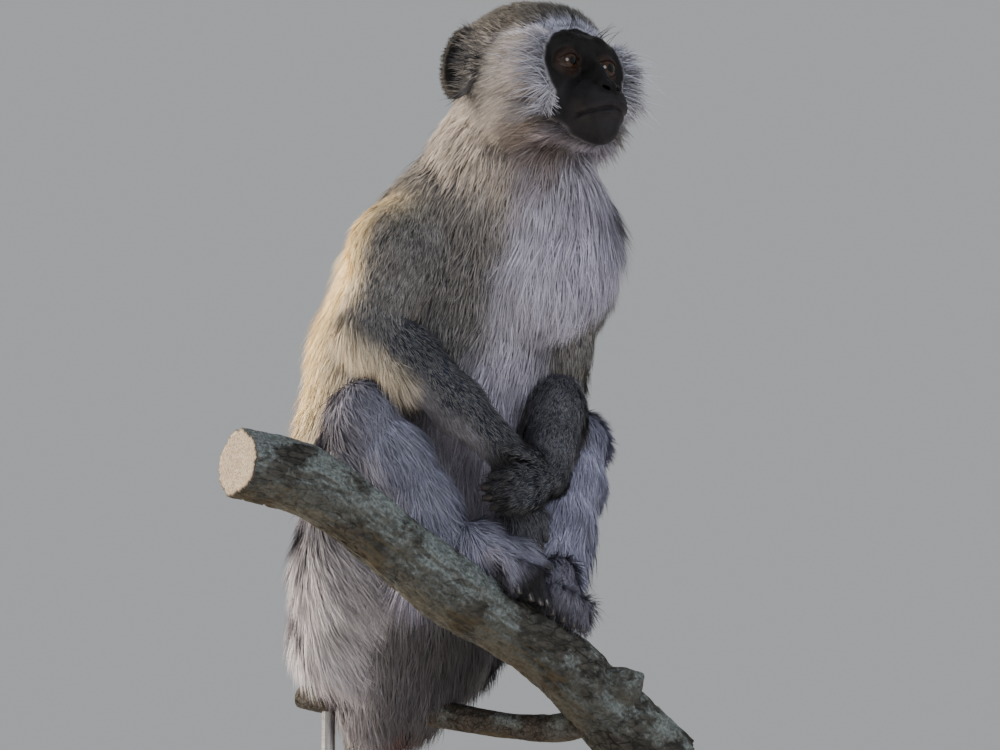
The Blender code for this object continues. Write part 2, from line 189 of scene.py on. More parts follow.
def buildHand(side, s):
    j, arm = joints[side], "arm" + side
    w, k, f = j["wrist"], j["knuckle"], j["fingertip"]
    if side == "R":
        spread, bend, rise, palm = vec(6.0, 0.6, 1.2), vec(0, -3, 0), vec(0, 0, 1), (8.5, 7, 11)
        lengths, nailUp, thumbUp = (0.86, 1.0, 0.97, 0.8), vec(0, -1, 0.2), vec(-0.6, -1, 0.4)
        thumb = mix(w, k, 0.3), k + vec(-12, 0, 3), k + vec(-13, -3, -9)
    else:
        spread, bend, rise, palm = vec(0.6, 0.6, 5.2), vec(-4, -7, 0), vec(2, 0, 0), (11, 7, 8.5)
        lengths, nailUp, thumbUp = (0.8, 0.96, 1.0, 0.84), bend, vec(0, -1, 0.4)
        thumb = mix(w, k, 0.3), k + vec(4, 1, 16), k + vec(-8, 2, 19)
    addEgg("hand" + side, arm, mix(w, k, 0.5), palm, blend=5)
    for i, share in enumerate(lengths):
        off = spread * (i - 1.5)
        root = k + rise + off
        tip = root + (f - k - rise) * share * (1 if side == "R" else 0.86) + off * 0.12
        addDigit("hand", side, arm, w + off * 0.45, root, (root + tip) / 2 + bend, tip, nailUp)
    addThumb("hand", side, arm, *thumb, thumbUp)


def buildFoot(side, s):
    j = joints[side]
    leg, tag = "leg" + side, "foot" + side
    heel, a, inst, ball, toe = (j[n] for n in ("heel", "ankle", "instep", "ball", "toe"))
    addEgg(tag, leg, heel, (8.5, 9, 8.5), blend=5)
    addEgg(tag, leg, a, (10, 10, 11), blend=6)
    addChain(tag, leg, [(*heel, 7.5), (*mix(heel, inst, 0.5), 9.5), (*inst, 9.5)], 6)
    spread = vec(6.5, 0, -2.2)
    for i, share in enumerate((0.94, 1.0, 0.97, 0.86)[::-s]):
        off = spread * (i - 1.5)
        root = ball + vec(0, -3, -1) + off
        tip = root + (toe - ball) * share * (0.95 if side == "R" else 0.62) + off * 0.12
        addDigit("foot", side, leg, inst + off * 0.55, root, (root + tip) / 2 + vec(0, -3, 5), tip, vec(0, -0.6, 1))
    addThumb("foot", side, leg, mix(inst, ball, 0.3), mix(inst, ball, 0.6) + vec(-15 * s, -4, 2),
             ball + vec(-19 * s, -9, -4), vec(0, -0.4, 1))


tail = {"resting": -265.3, "drop": 0.47, "turn": 0.9}  # height where it lies, share that hangs, half turns it makes


def tailPoint(share):
    floor, drop = tail["resting"], tail["drop"]
    if share < drop:
        s = share / drop
        return vec(4 + 15 * s, 30 + 26 * math.sin(s * 2.2), -22 + (floor + 38) * s)
    s = (share - drop) / (1 - drop)
    turn = tail["turn"] * math.pi * s
    sink = floor + 16 * (1 - min(s / 0.22, 1)) ** 2
    return vec(19 + 62 * math.sin(turn), 51 - 61 * (1 - math.cos(turn)), sink)


def buildHead():
    g = "core"
    addEgg("head", g, (0, -116, 303), (39, 41, 39.5), blend=8)
    addEgg("head", g, (0, -140, 301), (35, 20.5, 32), blend=8)
    addChain("face", g, [(-26, -153.5, 309.5, 6.8), (-10, -158.5, 311.5, 6.8), (0, -159.5, 310.5, 6.4),
                         (10, -158.5, 311.5, 6.8), (26, -153.5, 309.5, 6.8)], 4)
    addEgg("face", g, (0, -148, 283), (25, 19, 22), blend=7)
    for s in (-1, 1):
        addEgg("head", g, (21 * s, -134, 281), (16, 20, 20), blend=8)
        addEgg("face", g, (22.5 * s, -154.5, 290), (11, 9.5, 9.5), blend=5)
        addEgg("face", g, (28 * s, -153.5, 300.5), (6.8, 8.5, 11), blend=4)
        addCone("face", g, (16 * s, -147, 270), (5.5 * s, -170, 265), 9.5, 8, 6)
        addEgg("face", g, (6.5 * s, -175.2, 277), (8.5, 9.5, 8.0), blend=4)
    addChain("face", g, [(0, -154, 278, 19.5), (0, -169, 276, 15.5), (0, -175.5, 274.5, 12.3)], 5)
    addCone("face", g, (0, -162, 266), (0, -175.5, 263.3), 10.2, 9.6, 4)
    addChain("face", g, [(0, -163, 303.5, 5.6), (0, -171, 294, 5.4), (0, -178.3, 285.5, 5.0)], 4)
    addEgg("face", g, (0, -181, 283.5), (6.6, 4.4, 3.9), (-25, 0, 0), 2.5)
    for side, s in sides.items():
        tag = "ear" + side
        c, turn, m = earPlace(s)
        addEgg(tag, g, c, body["earRadii"], turn, 3)
        addCone(tag, g, c - m[:, 0] * s * 11 - m[:, 1] * 5, c - m[:, 1] * 5, 11, 4.5, 5)
        addCone(tag, g, c - m[:, 1] * 8.5 - m[:, 2] * 4, c - m[:, 1] * 6.5 - m[:, 2] * 11, 2.6, 2.2, 3)


def earPlace(s):
    turn = (6, -8 * s, -26 * s)
    m = turnMatrix(turn)
    x, y, z = body["earAt"]
    return vec(x * s, y, z) - m[:, 1] * 1.2, turn, m


nails = []
buildFlesh()
groups = sorted({s["group"] for s in shapes})
shapeLo = np.array([s["lo"] for s in shapes])
shapeHi = np.array([s["hi"] for s in shapes])


def carve(f, cut, k):
    return -smoothMin(-f, cut, k)


def eggDistance(p, centre, radii, turn=(0, 0, 0)):
    return distanceTo(p, dict(kind="egg", centre=vec(*centre), radii=vec(*radii), turn=turnMatrix(turn)))


faceForms = {
    "lidFolds": ((7.4, 0.5, 1.1), (-6.3, 0.45, 1.0), (-8.6, 0.3, 1.0)),  # height from the eye, depth, width
    "noseCreases": ((294.5, 0.35, 1.1), (298.0, 0.25, 1.0), (288.5, 0.3, 1.3)),  # height, depth, width
}


def formEye(q, g, s):
    # socket, lids over the ball, the opening between them and the folds round them
    ey, ez = body["eyeAt"]
    x = body["eyeSpread"] * s
    g = carve(g, eggDistance(q, (x + s * 0.6, ey - 15.5, ez), (11.5, 9.5, 9.0)), 3.5)
    ball = np.sqrt(((q - np.array((x, ey, ez))) ** 2).sum(1))
    g = smoothMin(g, ball - (body["eyeRadius"] + body["lidThickness"]), 3.0)
    w, h = body["lidOpening"]
    g = carve(g, eggDistance(q, (x - s * 0.1, ey - 9, ez - 0.3), (w, 8.5, h), (0, 6 * s, -12 * s)), 0.7)
    ring = np.sqrt((q[:, 0] - x) ** 2 + ((q[:, 2] - ez) * 1.12) ** 2)
    for lift, depth, wide in faceForms["lidFolds"]:
        band = np.exp(-((ring - abs(lift) - 1.6) / wide) ** 2) * (np.sign(lift) * (q[:, 2] - ez) > -2)
        g = g + depth * band * (q[:, 1] < ey)
    return g


def formNostril(q, g, s):
    g = carve(g, eggDistance(q, (3.9 * s, -184.0, 283.6), (2.5, 3.0, 0.95), (14, -24 * s, 30 * s)), 0.7)
    return smoothMin(g, eggDistance(q, (6.3 * s, -180.2, 284.6), (1.5, 3.2, 2.6), (10, 0, 30 * s)), 1.8)


def formMouth(q, g):
    # the line of the lips, the groove above it and soft creases beside the nose
    x, y, z = q.T
    snout = np.clip((-y - 168.5) / 4, 0, 1)
    dz = z - (272.2 - 0.0165 * x ** 2)
    g = g + snout * (1.5 * np.exp(-(dz / 0.85) ** 2) - 0.7 * np.exp(-((dz - 3.2) / 2.2) ** 2)
                     - 0.8 * np.exp(-((dz + 3.2) / 2.0) ** 2))
    upper = np.clip((z - 273) / 4, 0, 1) * snout
    g = g + upper * 0.5 * np.exp(-(x / 0.9) ** 2) * (y < -181)
    for low, deep, wide in faceForms["noseCreases"]:
        run = np.exp(-((z - low - 0.25 * np.abs(x)) / wide) ** 2)
        g = g + deep * run * np.exp(-((np.abs(x) - 8.5) / 4) ** 2) * (y < -160)
    return g


def formEar(q, g, s):
    c, turn, m = earPlace(s)
    hollow = eggDistance(q, c + m[:, 0] * s * 3.3 - m[:, 1] * 0.8, (3.9, 9.1, 18.2), turn)
    fold = eggDistance(q, c + m[:, 0] * s * 0.6 - m[:, 1] * 3.0 + m[:, 2] * 3.0, (1.8, 1.5, 8.0), turn)
    return smoothMin(carve(g, hollow, 1.2), fold, 1.5)


def faceDetail(p, f):
    near = p[:, 1] < -140
    if near.any():
        q, g = p[near], f[near]
        for s in (-1, 1):
            g = formNostril(q, formEye(q, g, s), s)
        f[near] = formMouth(q, g)
    for s in (-1, 1):
        by = p[:, 0] * s > 30
        if by.any():
            f[by] = formEar(p[by], f[by], s)
    return f


def fieldOf(p, active):
    total = np.full(len(p), 60.0)
    for group in groups:
        d = None
        for i in active:
            s = shapes[i]
            if s["group"] == group:
                one = distanceTo(p, s)
                d = one if d is None else smoothMin(d, one, s["blend"])
        if d is not None:
            total = smoothMin(total, d, body["webbing"])
    if p[:, 2].max() > 245:
        total = faceDetail(p, total)
    return total


def activeNear(lo, hi):
    return np.nonzero(((shapeLo < hi) & (shapeHi > lo)).all(1))[0]


def tilesOf(points, cell=24.0):
    keys = np.floor(points / cell).astype(np.int64)
    code = (keys[:, 0] + 512) * 1048576 + (keys[:, 1] + 512) * 1024 + keys[:, 2] + 512
    order = np.argsort(code, kind="stable")
    return np.split(order, np.nonzero(np.diff(code[order]))[0] + 1)


def fieldAt(points):
    out = np.full(len(points), 60.0)
    for part in tilesOf(points):
        p = points[part]
        active = activeNear(p.min(0), p.max(0))
        if len(active):
            out[part] = fieldOf(p, active)
    return out


def gridField(lo, hi, step, tile=18):
    axes = [np.arange(a, b + step, step) for a, b in zip(lo, hi)]
    size = [len(a) for a in axes]
    values = np.full(size, 60.0, np.float32)
    half = tile * step * 0.5 * math.sqrt(3)
    for i in range(0, size[0], tile):
        for j in range(0, size[1], tile):
            for k in range(0, size[2], tile):
                xs, ys, zs = axes[0][i:i + tile], axes[1][j:j + tile], axes[2][k:k + tile]
                low, high = vec(xs[0], ys[0], zs[0]), vec(xs[-1], ys[-1], zs[-1])
                active = activeNear(low, high)
                if not len(active):
                    continue
                middle = fieldOf(((low + high) / 2)[None], active)[0]
                block = (slice(i, i + len(xs)), slice(j, j + len(ys)), slice(k, k + len(zs)))
                if abs(middle) > half * 1.6 + 6:
                    values[block] = middle
                    continue
                p = np.stack(np.meshgrid(xs, ys, zs, indexing="ij"), -1).reshape(-1, 3)
                values[block] = fieldOf(p, active).reshape(len(xs), len(ys), len(zs))
    return axes, values


def surfaceNet(axes, values, step):
    inside = values < 0
    corners = [(a, b, c) for a in (0, 1) for b in (0, 1) for c in (0, 1)]
    nx, ny, nz = (n - 1 for n in values.shape)

    def at(grid, o):
        return grid[o[0]:o[0] + nx, o[1]:o[1] + ny, o[2]:o[2] + nz]

    count = sum(at(inside, o).astype(np.int8) for o in corners)
    cells = np.argwhere((count > 0) & (count < 8))
    index = np.full((nx, ny, nz), -1, np.int64)
    index[cells[:, 0], cells[:, 1], cells[:, 2]] = np.arange(len(cells))
    total = np.zeros((len(cells), 3))
    hits = np.zeros(len(cells))
    for a in corners:
        for axis in range(3):
            if a[axis]:
                continue
            b = list(a)
            b[axis] = 1
            fa = values[tuple((cells + a).T)]
            fb = values[tuple((cells + b).T)]
            cross = (fa < 0) != (fb < 0)
            t = np.where(cross, fa / np.where(cross, fa - fb, 1), 0)
            spot = np.tile(np.array(a, float), (len(cells), 1))
            spot[:, axis] = t
            total += spot * cross[:, None]
            hits += cross
    verts = np.array([a[0] for a in axes]) + (cells + total / hits[:, None]) * step
    quads = []
    for axis in range(3):
        u, v = [d for d in range(3) if d != axis]
        here = [slice(1, -1)] * 3
        here[axis] = slice(0, -1)
        there = list(here)
        there[axis] = slice(1, None)
        a, b = inside[tuple(here)], inside[tuple(there)]
        found = np.argwhere(a != b)
        flip = a[tuple(found.T)]
        base = found + 1
        base[:, axis] -= 1
        around = []
        for du, dv in ((-1, -1), (0, -1), (0, 0), (-1, 0)):
            cell = base.copy()
            cell[:, u] += du
            cell[:, v] += dv
            around.append(index[tuple(cell.T)])
        quad = np.stack(around, 1)
        if axis == 1:
            flip = ~flip
        quad[~flip] = quad[~flip][:, ::-1]
        quads.append(quad)
    quads = np.concatenate(quads)
    return verts, quads[(quads >= 0).all(1)]


def vertexNormals(verts, quads):
    a, b, c, d = (verts[quads[:, k]] for k in range(4))
    faceNormal = np.cross(c - a, d - b)
    out = np.zeros_like(verts)
    for k in range(4):
        np.add.at(out, quads[:, k], faceNormal)
    return out / np.maximum(np.linalg.norm(out, axis=1), 1e-9)[:, None]


def boxOf(tags, pad):
    chosen = [s for s in shapes if s["tag"] in tags]
    lo = np.min([s["lo"] + s["blend"] for s in chosen], 0) - pad
    hi = np.max([s["hi"] - s["blend"] for s in chosen], 0) + pad
    return lo, hi


fine = {"face": 0.85, "ears": 1.0, "hands": 1.1, "feet": 1.2, "rest": 2.9}


def buildSkin():
    blocks = [(vec(-36, -200, 246), vec(36, -141, 328), fine["face"])]
    for side in sides:
        blocks.append((*boxOf({"ear" + side}, 2), fine["ears"]))
    blocks.append((*boxOf({"handR", "handL"}, 3), fine["hands"]))
    for side in sides:
        blocks.append((*boxOf({"foot" + side}, 3), fine["feet"]))
    blocks.append((shapeLo.min(0) - 4, shapeHi.max(0) + 4, fine["rest"]))
    allVerts, allQuads, seen, start = [], [], [], 0
    for lo, hi, step in blocks:
        axes, values = gridField(lo, hi, step)
        verts, quads = surfaceNet(axes, values, step)
        for _ in range(2):
            n = vertexNormals(verts, quads)
            verts = verts - n * np.clip(fieldAt(verts), -step, step)[:, None] * 0.9
        middle = verts[quads].mean(1)
        keep = np.ones(len(quads), bool)
        for a, b, s in seen:
            inner = max(1.6 * step, 2.0)
            keep &= ~((middle > a + inner) & (middle < b - inner)).all(1)
        seen.append((lo, hi, step))
        allVerts.append(verts)
        allQuads.append(quads[keep] + start)
        start += len(verts)
    verts, quads = np.concatenate(allVerts), np.concatenate(allQuads)
    used = np.zeros(len(verts), bool)
    used[quads] = True
    renumber = np.cumsum(used) - 1
    return verts[used], renumber[quads]


skinVerts, skinQuads = buildSkin()
skinNormals = vertexNormals(skinVerts, skinQuads)
print("skin:", len(skinVerts), "points,", len(skinQuads) * 2, "triangles")


def linear(r, g, b):
    return [(c / 255 / 12.92) if c <= 10.3 else ((c / 255 + 0.055) / 1.055) ** 2.4 for c in (r, g, b)]


def addMesh(name, verts, faces, material):
    mesh = bpy.data.meshes.new(name)
    verts, faces = np.asarray(verts, np.float64), np.asarray(faces)
    mesh.vertices.add(len(verts))
    mesh.vertices.foreach_set("co", ((verts + hip) / 1000).astype(np.float32).ravel())
    corners = faces.shape[1]
    mesh.loops.add(faces.size)
    mesh.loops.foreach_set("vertex_index", faces.astype(np.int32).ravel())
    mesh.polygons.add(len(faces))
    mesh.polygons.foreach_set("loop_start", np.arange(0, faces.size, corners, dtype=np.int32))
    mesh.polygons.foreach_set("use_smooth", np.ones(len(faces), bool))
    mesh.update()
    mesh.validate()
    mesh.materials.append(material)
    obj = bpy.data.objects.new(name, mesh)
    bpy.context.scene.collection.objects.link(obj)
    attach(obj, "root")
    return obj


def addColour(obj, name, values):
    layer = obj.data.color_attributes.new(name, "FLOAT_COLOR", "POINT")
    rgba = np.ones((len(values), 4), np.float32)
    rgba[:, :3] = values
    layer.data.foreach_set("color", rgba.ravel())


def addValue(obj, name, values):
    layer = obj.data.attributes.new(name, "FLOAT", "POINT")
    layer.data.foreach_set("value", np.asarray(values, np.float32))


def addBakeMap(obj, uv, faces):
    layer = obj.data.uv_layers.new(name="OFBake")
    layer.data.foreach_set("uv", uv[np.array(faces).ravel()].astype(np.float32).ravel())


class Nodes:  # a short way to place and join shader nodes
    def __init__(self, tree):
        self.tree = tree

    def add(self, kind, values=None, **settings):
        node = self.tree.nodes.new(kind)
        for key, value in settings.items():
            setattr(node, key, value)
        for key, value in (values or {}).items():
            if isinstance(value, bpy.types.NodeSocket):
                self.tree.links.new(value, node.inputs[key])
            else:
                node.inputs[key].default_value = value
        return node

    def math(self, operation, *values):
        return self.add("ShaderNodeMath", dict(enumerate(values)), operation=operation).outputs[0]

    def mix(self, share, a, b, blendType="MIX"):
        a, b = (c if isinstance(c, bpy.types.NodeSocket) else (*c, 1.0) for c in (a, b))
        return self.add("ShaderNodeMix", {0: share, 6: a, 7: b}, data_type="RGBA", blend_type=blendType,
                        clamp_factor=True).outputs[2]

    def smooth(self, value, low, high, outLow=0.0, outHigh=1.0):
        return self.add("ShaderNodeMapRange", {0: value, 1: low, 2: high, 3: outLow, 4: outHigh},
                        interpolation_type="SMOOTHSTEP").outputs[0]

    def noise(self, vector, scale, detail=3.0, rough=0.55):
        return self.add("ShaderNodeTexNoise", {"Vector": vector, "Scale": scale, "Detail": detail,
                                               "Roughness": rough}).outputs["Fac"]

    def attribute(self, name, output="Fac"):
        return self.add("ShaderNodeAttribute", attribute_name=name).outputs[output]

    def place(self, scale=None):  # where a point lies on the object, spread by the scale
        place = self.add("ShaderNodeTexCoord").outputs["Object"]
        if scale is None:
            return place
        return self.add("ShaderNodeVectorMath", {0: place, "Scale": scale}, operation="SCALE").outputs[0]

    def grey(self, value):
        return self.add("ShaderNodeCombineColor", {0: value, 1: value, 2: value}).outputs[0]

    def shade(self, colour, value):
        return self.mix(1.0, colour, self.grey(value), "MULTIPLY")

    def edges(self, vector, scale):  # distance to the borders of scattered cells
        return self.add("ShaderNodeTexVoronoi", {"Vector": vector, "Scale": scale},
                        feature="DISTANCE_TO_EDGE").outputs[0]

    def bump(self, strength, distance, height):
        return self.add("ShaderNodeBump", {"Strength": strength, "Distance": distance, "Height": height}).outputs[0]

    def group(self, tree, values):
        return self.add("ShaderNodeGroup", values, node_tree=tree).outputs


def newMaterial(name, constants=None):
    material = bpy.data.materials.new(name)
    material.use_nodes = True
    tree = material.node_tree
    tree.nodes.clear()
    nodes = Nodes(tree)
    shader = nodes.add("ShaderNodeBsdfPrincipled", constants)
    nodes.add("ShaderNodeOutputMaterial", {"Surface": shader.outputs[0]})
    return material, nodes, shader


def newGroup(name, inputs, outputs):
    tree = bpy.data.node_groups.new(name, "ShaderNodeTree")
    for direction, sockets in (("INPUT", inputs), ("OUTPUT", outputs)):
        for socketName, kind, *value in sockets:
            socket = tree.interface.new_socket(socketName, in_out=direction, socket_type="NodeSocket" + kind)
            if value:
                socket.default_value = value[0]
    nodes = Nodes(tree)
    return tree, nodes, nodes.add("NodeGroupInput").outputs


def link(nodes, shader, **sockets):
    for key, value in sockets.items():
        name = {"colour": "Base Color", "roughness": "Roughness", "normal": "Normal"}[key]
        nodes.tree.links.new(value, shader.inputs[name])


def grizzleGroup():
    # agouti hair: a dark root, a pale ring and a dark tip, uneven from tuft to tuft
    tree, n, start = newGroup(
        "grizzledHair",
        [("Colour", "Color", (0.2, 0.2, 0.2, 1)), ("Along", "Float", 0.5), ("Tuft", "Float", 0.5),
         ("Grizzle", "Float", 0.5)],
        [("Colour", "Color"), ("Roughness", "Float")])
    place = n.place()
    shift = n.math("MULTIPLY_ADD", start["Tuft"], 0.34, -0.17)
    along = n.math("ADD", start["Along"], shift)
    root = n.smooth(along, 0.0, 0.45, 0.42, 1.0)
    ring = n.math("MULTIPLY", n.smooth(along, 0.42, 0.6), n.smooth(along, 0.9, 0.72))
    tip = n.math("MULTIPLY", n.smooth(along, 0.74, 0.98), start["Grizzle"])
    base = n.shade(start["Colour"], root)
    pale = n.mix(0.55, start["Colour"], (0.52, 0.50, 0.46))
    base = n.mix(n.math("MULTIPLY", ring, n.math("MULTIPLY", start["Grizzle"], 0.55)), base, pale)
    base = n.mix(n.math("MULTIPLY", tip, 0.6), base, (0.030, 0.028, 0.028))
    patch = n.noise(place, 55.0, 3.0)
    fineNoise = n.noise(place, 900.0, 2.0)
    uneven = n.math("MULTIPLY", n.smooth(patch, 0.25, 0.75, 0.84, 1.14), n.smooth(start["Tuft"], 0, 1, 0.8, 1.22))
    uneven = n.math("MULTIPLY", uneven, n.smooth(fineNoise, 0.2, 0.8, 0.88, 1.12))
    n.add("NodeGroupOutput", {"Colour": n.shade(base, uneven), "Roughness": n.smooth(fineNoise, 0.2, 0.8, 0.52, 0.72)})
    return tree


def poreGroup():
    # bare black hide: fine pores and creases over soft mottling
    tree, n, start = newGroup(
        "bareHide", [("Colour", "Color", (0.02, 0.02, 0.02, 1)), ("Scale", "Float", 1.0), ("Depth", "Float", 0.5)],
        [("Colour", "Color"), ("Roughness", "Float"), ("Height", "Float")])
    place = n.place(start["Scale"])
    pores = n.smooth(n.edges(place, 1500.0), 0.0, 0.16)
    mottle = n.noise(place, 140.0, 4.0)
    tone = n.math("MULTIPLY", n.smooth(mottle, 0.3, 0.7, 0.72, 1.35), n.smooth(pores, 0, 1, 0.75, 1.0))
    height = n.math("ADD", n.math("MULTIPLY", pores, start["Depth"]), n.math("MULTIPLY", mottle, 0.8))
    n.add("NodeGroupOutput", {"Colour": n.shade(start["Colour"], tone), "Height": height,
                              "Roughness": n.smooth(mottle, 0.3, 0.7, 0.44, 0.6)})
    return tree


grizzledHair = grizzleGroup()
bareHide = poreGroup()


def coatMaterial(name, specular):
    material, n, shader = newMaterial(name, {"Specular IOR Level": specular})
    hair = n.group(grizzledHair, {"Colour": n.attribute("markings", "Color"), "Along": n.attribute("along"),
                                  "Tuft": n.attribute("tuft"), "Grizzle": n.attribute("grizzle")})
    link(n, shader, colour=hair["Colour"], roughness=hair["Roughness"])
    return material


def skinMaterial():
    material, n, shader = newMaterial("furredSkin", {"Specular IOR Level": 0.14})
    marking = n.attribute("markings", "Color")
    bare = n.attribute("bare")
    fur = n.group(grizzledHair, {"Colour": marking, "Along": 0.28, "Tuft": 0.5, "Grizzle": n.attribute("grizzle")})
    hide = n.group(bareHide, {"Colour": marking, "Scale": 1.0, "Depth": 0.5})
    # where furred, the skin takes the fur's colour darkened a third of the way to black: painted shade under the hair
    colour = n.mix(bare, n.mix(0.35, fur["Colour"], (0.05, 0.045, 0.045)), hide["Colour"])
    rough = n.add("ShaderNodeMix", {0: bare, 2: 0.85, 3: hide["Roughness"]}).outputs[0]
    place = n.place()
    strands = n.noise(place, 1300.0, 2.0)
    height = n.add("ShaderNodeMix", {0: bare, 2: strands, 3: hide["Height"]}).outputs[0]
    bump = n.bump(0.5, 0.0004, height)
    link(n, shader, colour=colour, roughness=rough, normal=bump)
    return material


coat = {  # tag: length mm, lift degrees, thickness of growth, colour, grizzle
    "trunk": (20, 24, 1.0, (92, 91, 94), 0.8),
    "neck": (19, 27, 1.1, (160, 150, 144), 0.4),
    "head": (11, 30, 1.8, (100, 94, 94), 0.85),
    "face": (12, 28, 1.8, (196, 190, 186), 0.1),
    "upperArm": (13, 20, 1.2, (108, 106, 107), 0.95),
    "forearm": (9.5, 17, 1.4, (44, 48, 63), 0.75),
    "hand": (10, 18, 2.6, (50, 53, 64), 0.6),
    "thigh": (22, 20, 1.0, (118, 117, 131), 0.4),
    "shin": (19, 17, 1.05, (130, 131, 151), 0.3),
    "foot": (15, 22, 2.4, (122, 121, 136), 0.3),
    "ear": (3.4, 20, 1.2, (34, 32, 34), 0.2),
    "tail": (9, 16, 1.5, (98, 96, 94), 0.6),
}
# a few tones are painted light: a warm sunlit gold, and the shadow tones of the throat, the jaw, the rump under the
# branch and the near upper arm
tones = {
    "backlitGold": (250, 226, 174), "crown": (31, 30, 33), "brow": (204, 205, 224), "cheek": (118, 112, 110),
    "temple": (66, 67, 76), "throatShadow": (84, 66, 50), "chest": (178, 175, 192), "flank": (150, 146, 150),
    "mask": (17, 16, 18), "lid": (66, 50, 42), "nose": (17, 16, 18), "lip": (40, 36, 38), "palm": (28, 26, 28),
    "inner": (158, 155, 163), "elbow": (226, 212, 188), "rosy": (120, 62, 44), "low": (140, 137, 146),
    "finger": (20, 19, 21), "tailTip": (44, 42, 42), "ear": (14, 13, 14), "earHair": (102, 100, 103),
    "armShade": (52, 54, 66), "armPale": (88, 90, 103), "haunch": (206, 202, 212), "lilac": (157, 158, 184),
    "muzzle": (33, 32, 36), "hackle": (166, 154, 146), "handHair": (74, 76, 88), "footHair": (146, 146, 168),
    "rumpShadow": (62, 61, 66),
}
tones = {name: np.array(linear(*value)) for name, value in tones.items()}
sideCoat = {  # what differs between the near and the far side: strengths of tones, length of the shin's hair
    "R": {"armShade": 0.22, "elbow": 0.9, "armPale": 0.0, "backed": 0.7, "shinLength": 28},
    "L": {"armShade": 0.0, "elbow": 0.4, "armPale": 0.5, "backed": 0.25, "shinLength": 38},
}
outlines = {  # height, half width of the black mask; height, inner edge of the chest's pale front
    "mask": np.array([(250, 5), (254, 10), (262, 15.5), (267, 19), (271, 22), (275, 22), (279, 20), (283, 21.5),
                      (287, 25), (291, 27.5), (297, 29.5), (304, 29), (310, 27), (315.5, 22), (320, 13), (323, 0)]),
    "maskStart": np.array([(254, 170), (260, 164), (270, 152), (284, 141)]),
    "chest": np.array([(110, -24), (140, 22), (163, 39), (209, 51), (227, 56), (255, 64)]),
}
tagNames = sorted({s["tag"] for s in shapes})
shapeTag = np.array([tagNames.index(s["tag"]) for s in shapes])


def kindOf(tag):
    return tag[:-1] if tag[-1] in "RL" and tag[:-1] in coat else tag


kindNames = list(coat)
tagKind = np.array([kindNames.index(kindOf(t)) for t in tagNames])


def flowOf(s):
    if s["kind"] == "egg" or s["tag"][:3] in ("hea", "fac", "ear"):
        return vec(0, 0, 0)
    d = s["b"] - s["a"]
    d = d / max(np.linalg.norm(d), 1e-6)
    if s["tag"].startswith("thigh"):  # the coat streams over the bent knee and down
        w = min(max(s["a"][2] / 80, 0), 1)
        return d * 0.2 + vec(0, -0.3 - 0.5 * w, -1 + 0.45 * w)
    return -d if s["tag"] in ("trunk", "neck") else d


flows = np.array([flowOf(s) for s in shapes])


def influence(points):
    # how much each named part shapes the skin at each point, and the way its hair runs
    share = np.zeros((len(points), len(tagNames)))
    flow = np.zeros((len(points), 3))
    for part in tilesOf(points):
        p = points[part]
        active = activeNear(p.min(0) - 6, p.max(0) + 6)
        d = np.stack([distanceTo(p, shapes[i]) for i in active], 1)
        w = np.exp(-np.clip(d - d.min(1, keepdims=True), 0, 40) / 3.5)
        w /= w.sum(1, keepdims=True)
        for column, i in enumerate(active):
            share[part, shapeTag[i]] += w[:, column]
        flow[part] = w @ flows[active]
    return share, flow


def ramp(x, low, high):
    t = np.clip((x - low) / (high - low), 0, 1)
    return t * t * (3 - 2 * t)


def wobble(p, size, seed=0.0):
    # smooth waves with no visible repeat, from -1 to 1
    q = p / size
    return (np.sin(q[:, 0] * 1.7 + q[:, 1] * 1.1 + seed) + np.sin(q[:, 1] * 2.3 - q[:, 2] * 1.3 + seed * 1.7)
            + np.sin(q[:, 2] * 1.9 + q[:, 0] * 1.5 - seed)) / 3


def outlineAt(name, z):
    return np.interp(z, *outlines[name].T)


def maskAt(p):
    edge = outlineAt("mask", p[:, 2]) + wobble(p, 2.6) * 1.0
    return ramp(edge - np.abs(p[:, 0]), -1.2, 1.4) * ramp(-p[:, 1] - outlineAt("maskStart", p[:, 2]), -3, 3)


def eyeRing(p):
    ey, ez = body["eyeAt"]
    return np.hypot(np.abs(p[:, 0]) - body["eyeSpread"], (p[:, 2] - ez) * 1.15)


def blendTo(values, share, target):
    share = np.asarray(share)[:, None] if values.ndim == 2 else share
    return values + (target - values) * share


class Pelt:  # what is known of the hair at each point, laid on patch by patch
    def __init__(self, p, n):
        self.p, self.n, self.ax = p, n, np.abs(p[:, 0])
        self.share, self.flow = influence(p)
        byKind = np.zeros((len(p), len(kindNames)))
        for t, k in enumerate(tagKind):
            byKind[:, k] += self.share[:, t]
        facts = np.array([coat[k][:3] + coat[k][4:] for k in kindNames], float)
        self.length, self.lift, self.growth, self.grizzle = (byKind @ facts).T
        self.colour = byKind @ np.array([linear(*coat[k][3]) for k in kindNames])
        self.of = {k: byKind[:, i] for i, k in enumerate(kindNames)}
        self.core = self.of["trunk"] + self.of["neck"]
        self.ear = ramp(self.of["ear"], 0.4, 0.62)
        self.bare = np.zeros(len(p))

    def part(self, tag):
        return self.share[:, tagNames.index(tag)]

    def lay(self, share, tone=None, strength=1.0, **facts):
        # where the share is 1, the tone comes in at its strength and each fact takes the value given
        if tone:
            self.colour = blendTo(self.colour, share * strength, tones[tone])
        for name, value in facts.items():
            setattr(self, name, blendTo(getattr(self, name), share, value))

    def strip(self, *shares):
        for share in shares:
            self.bare = np.maximum(self.bare, share)


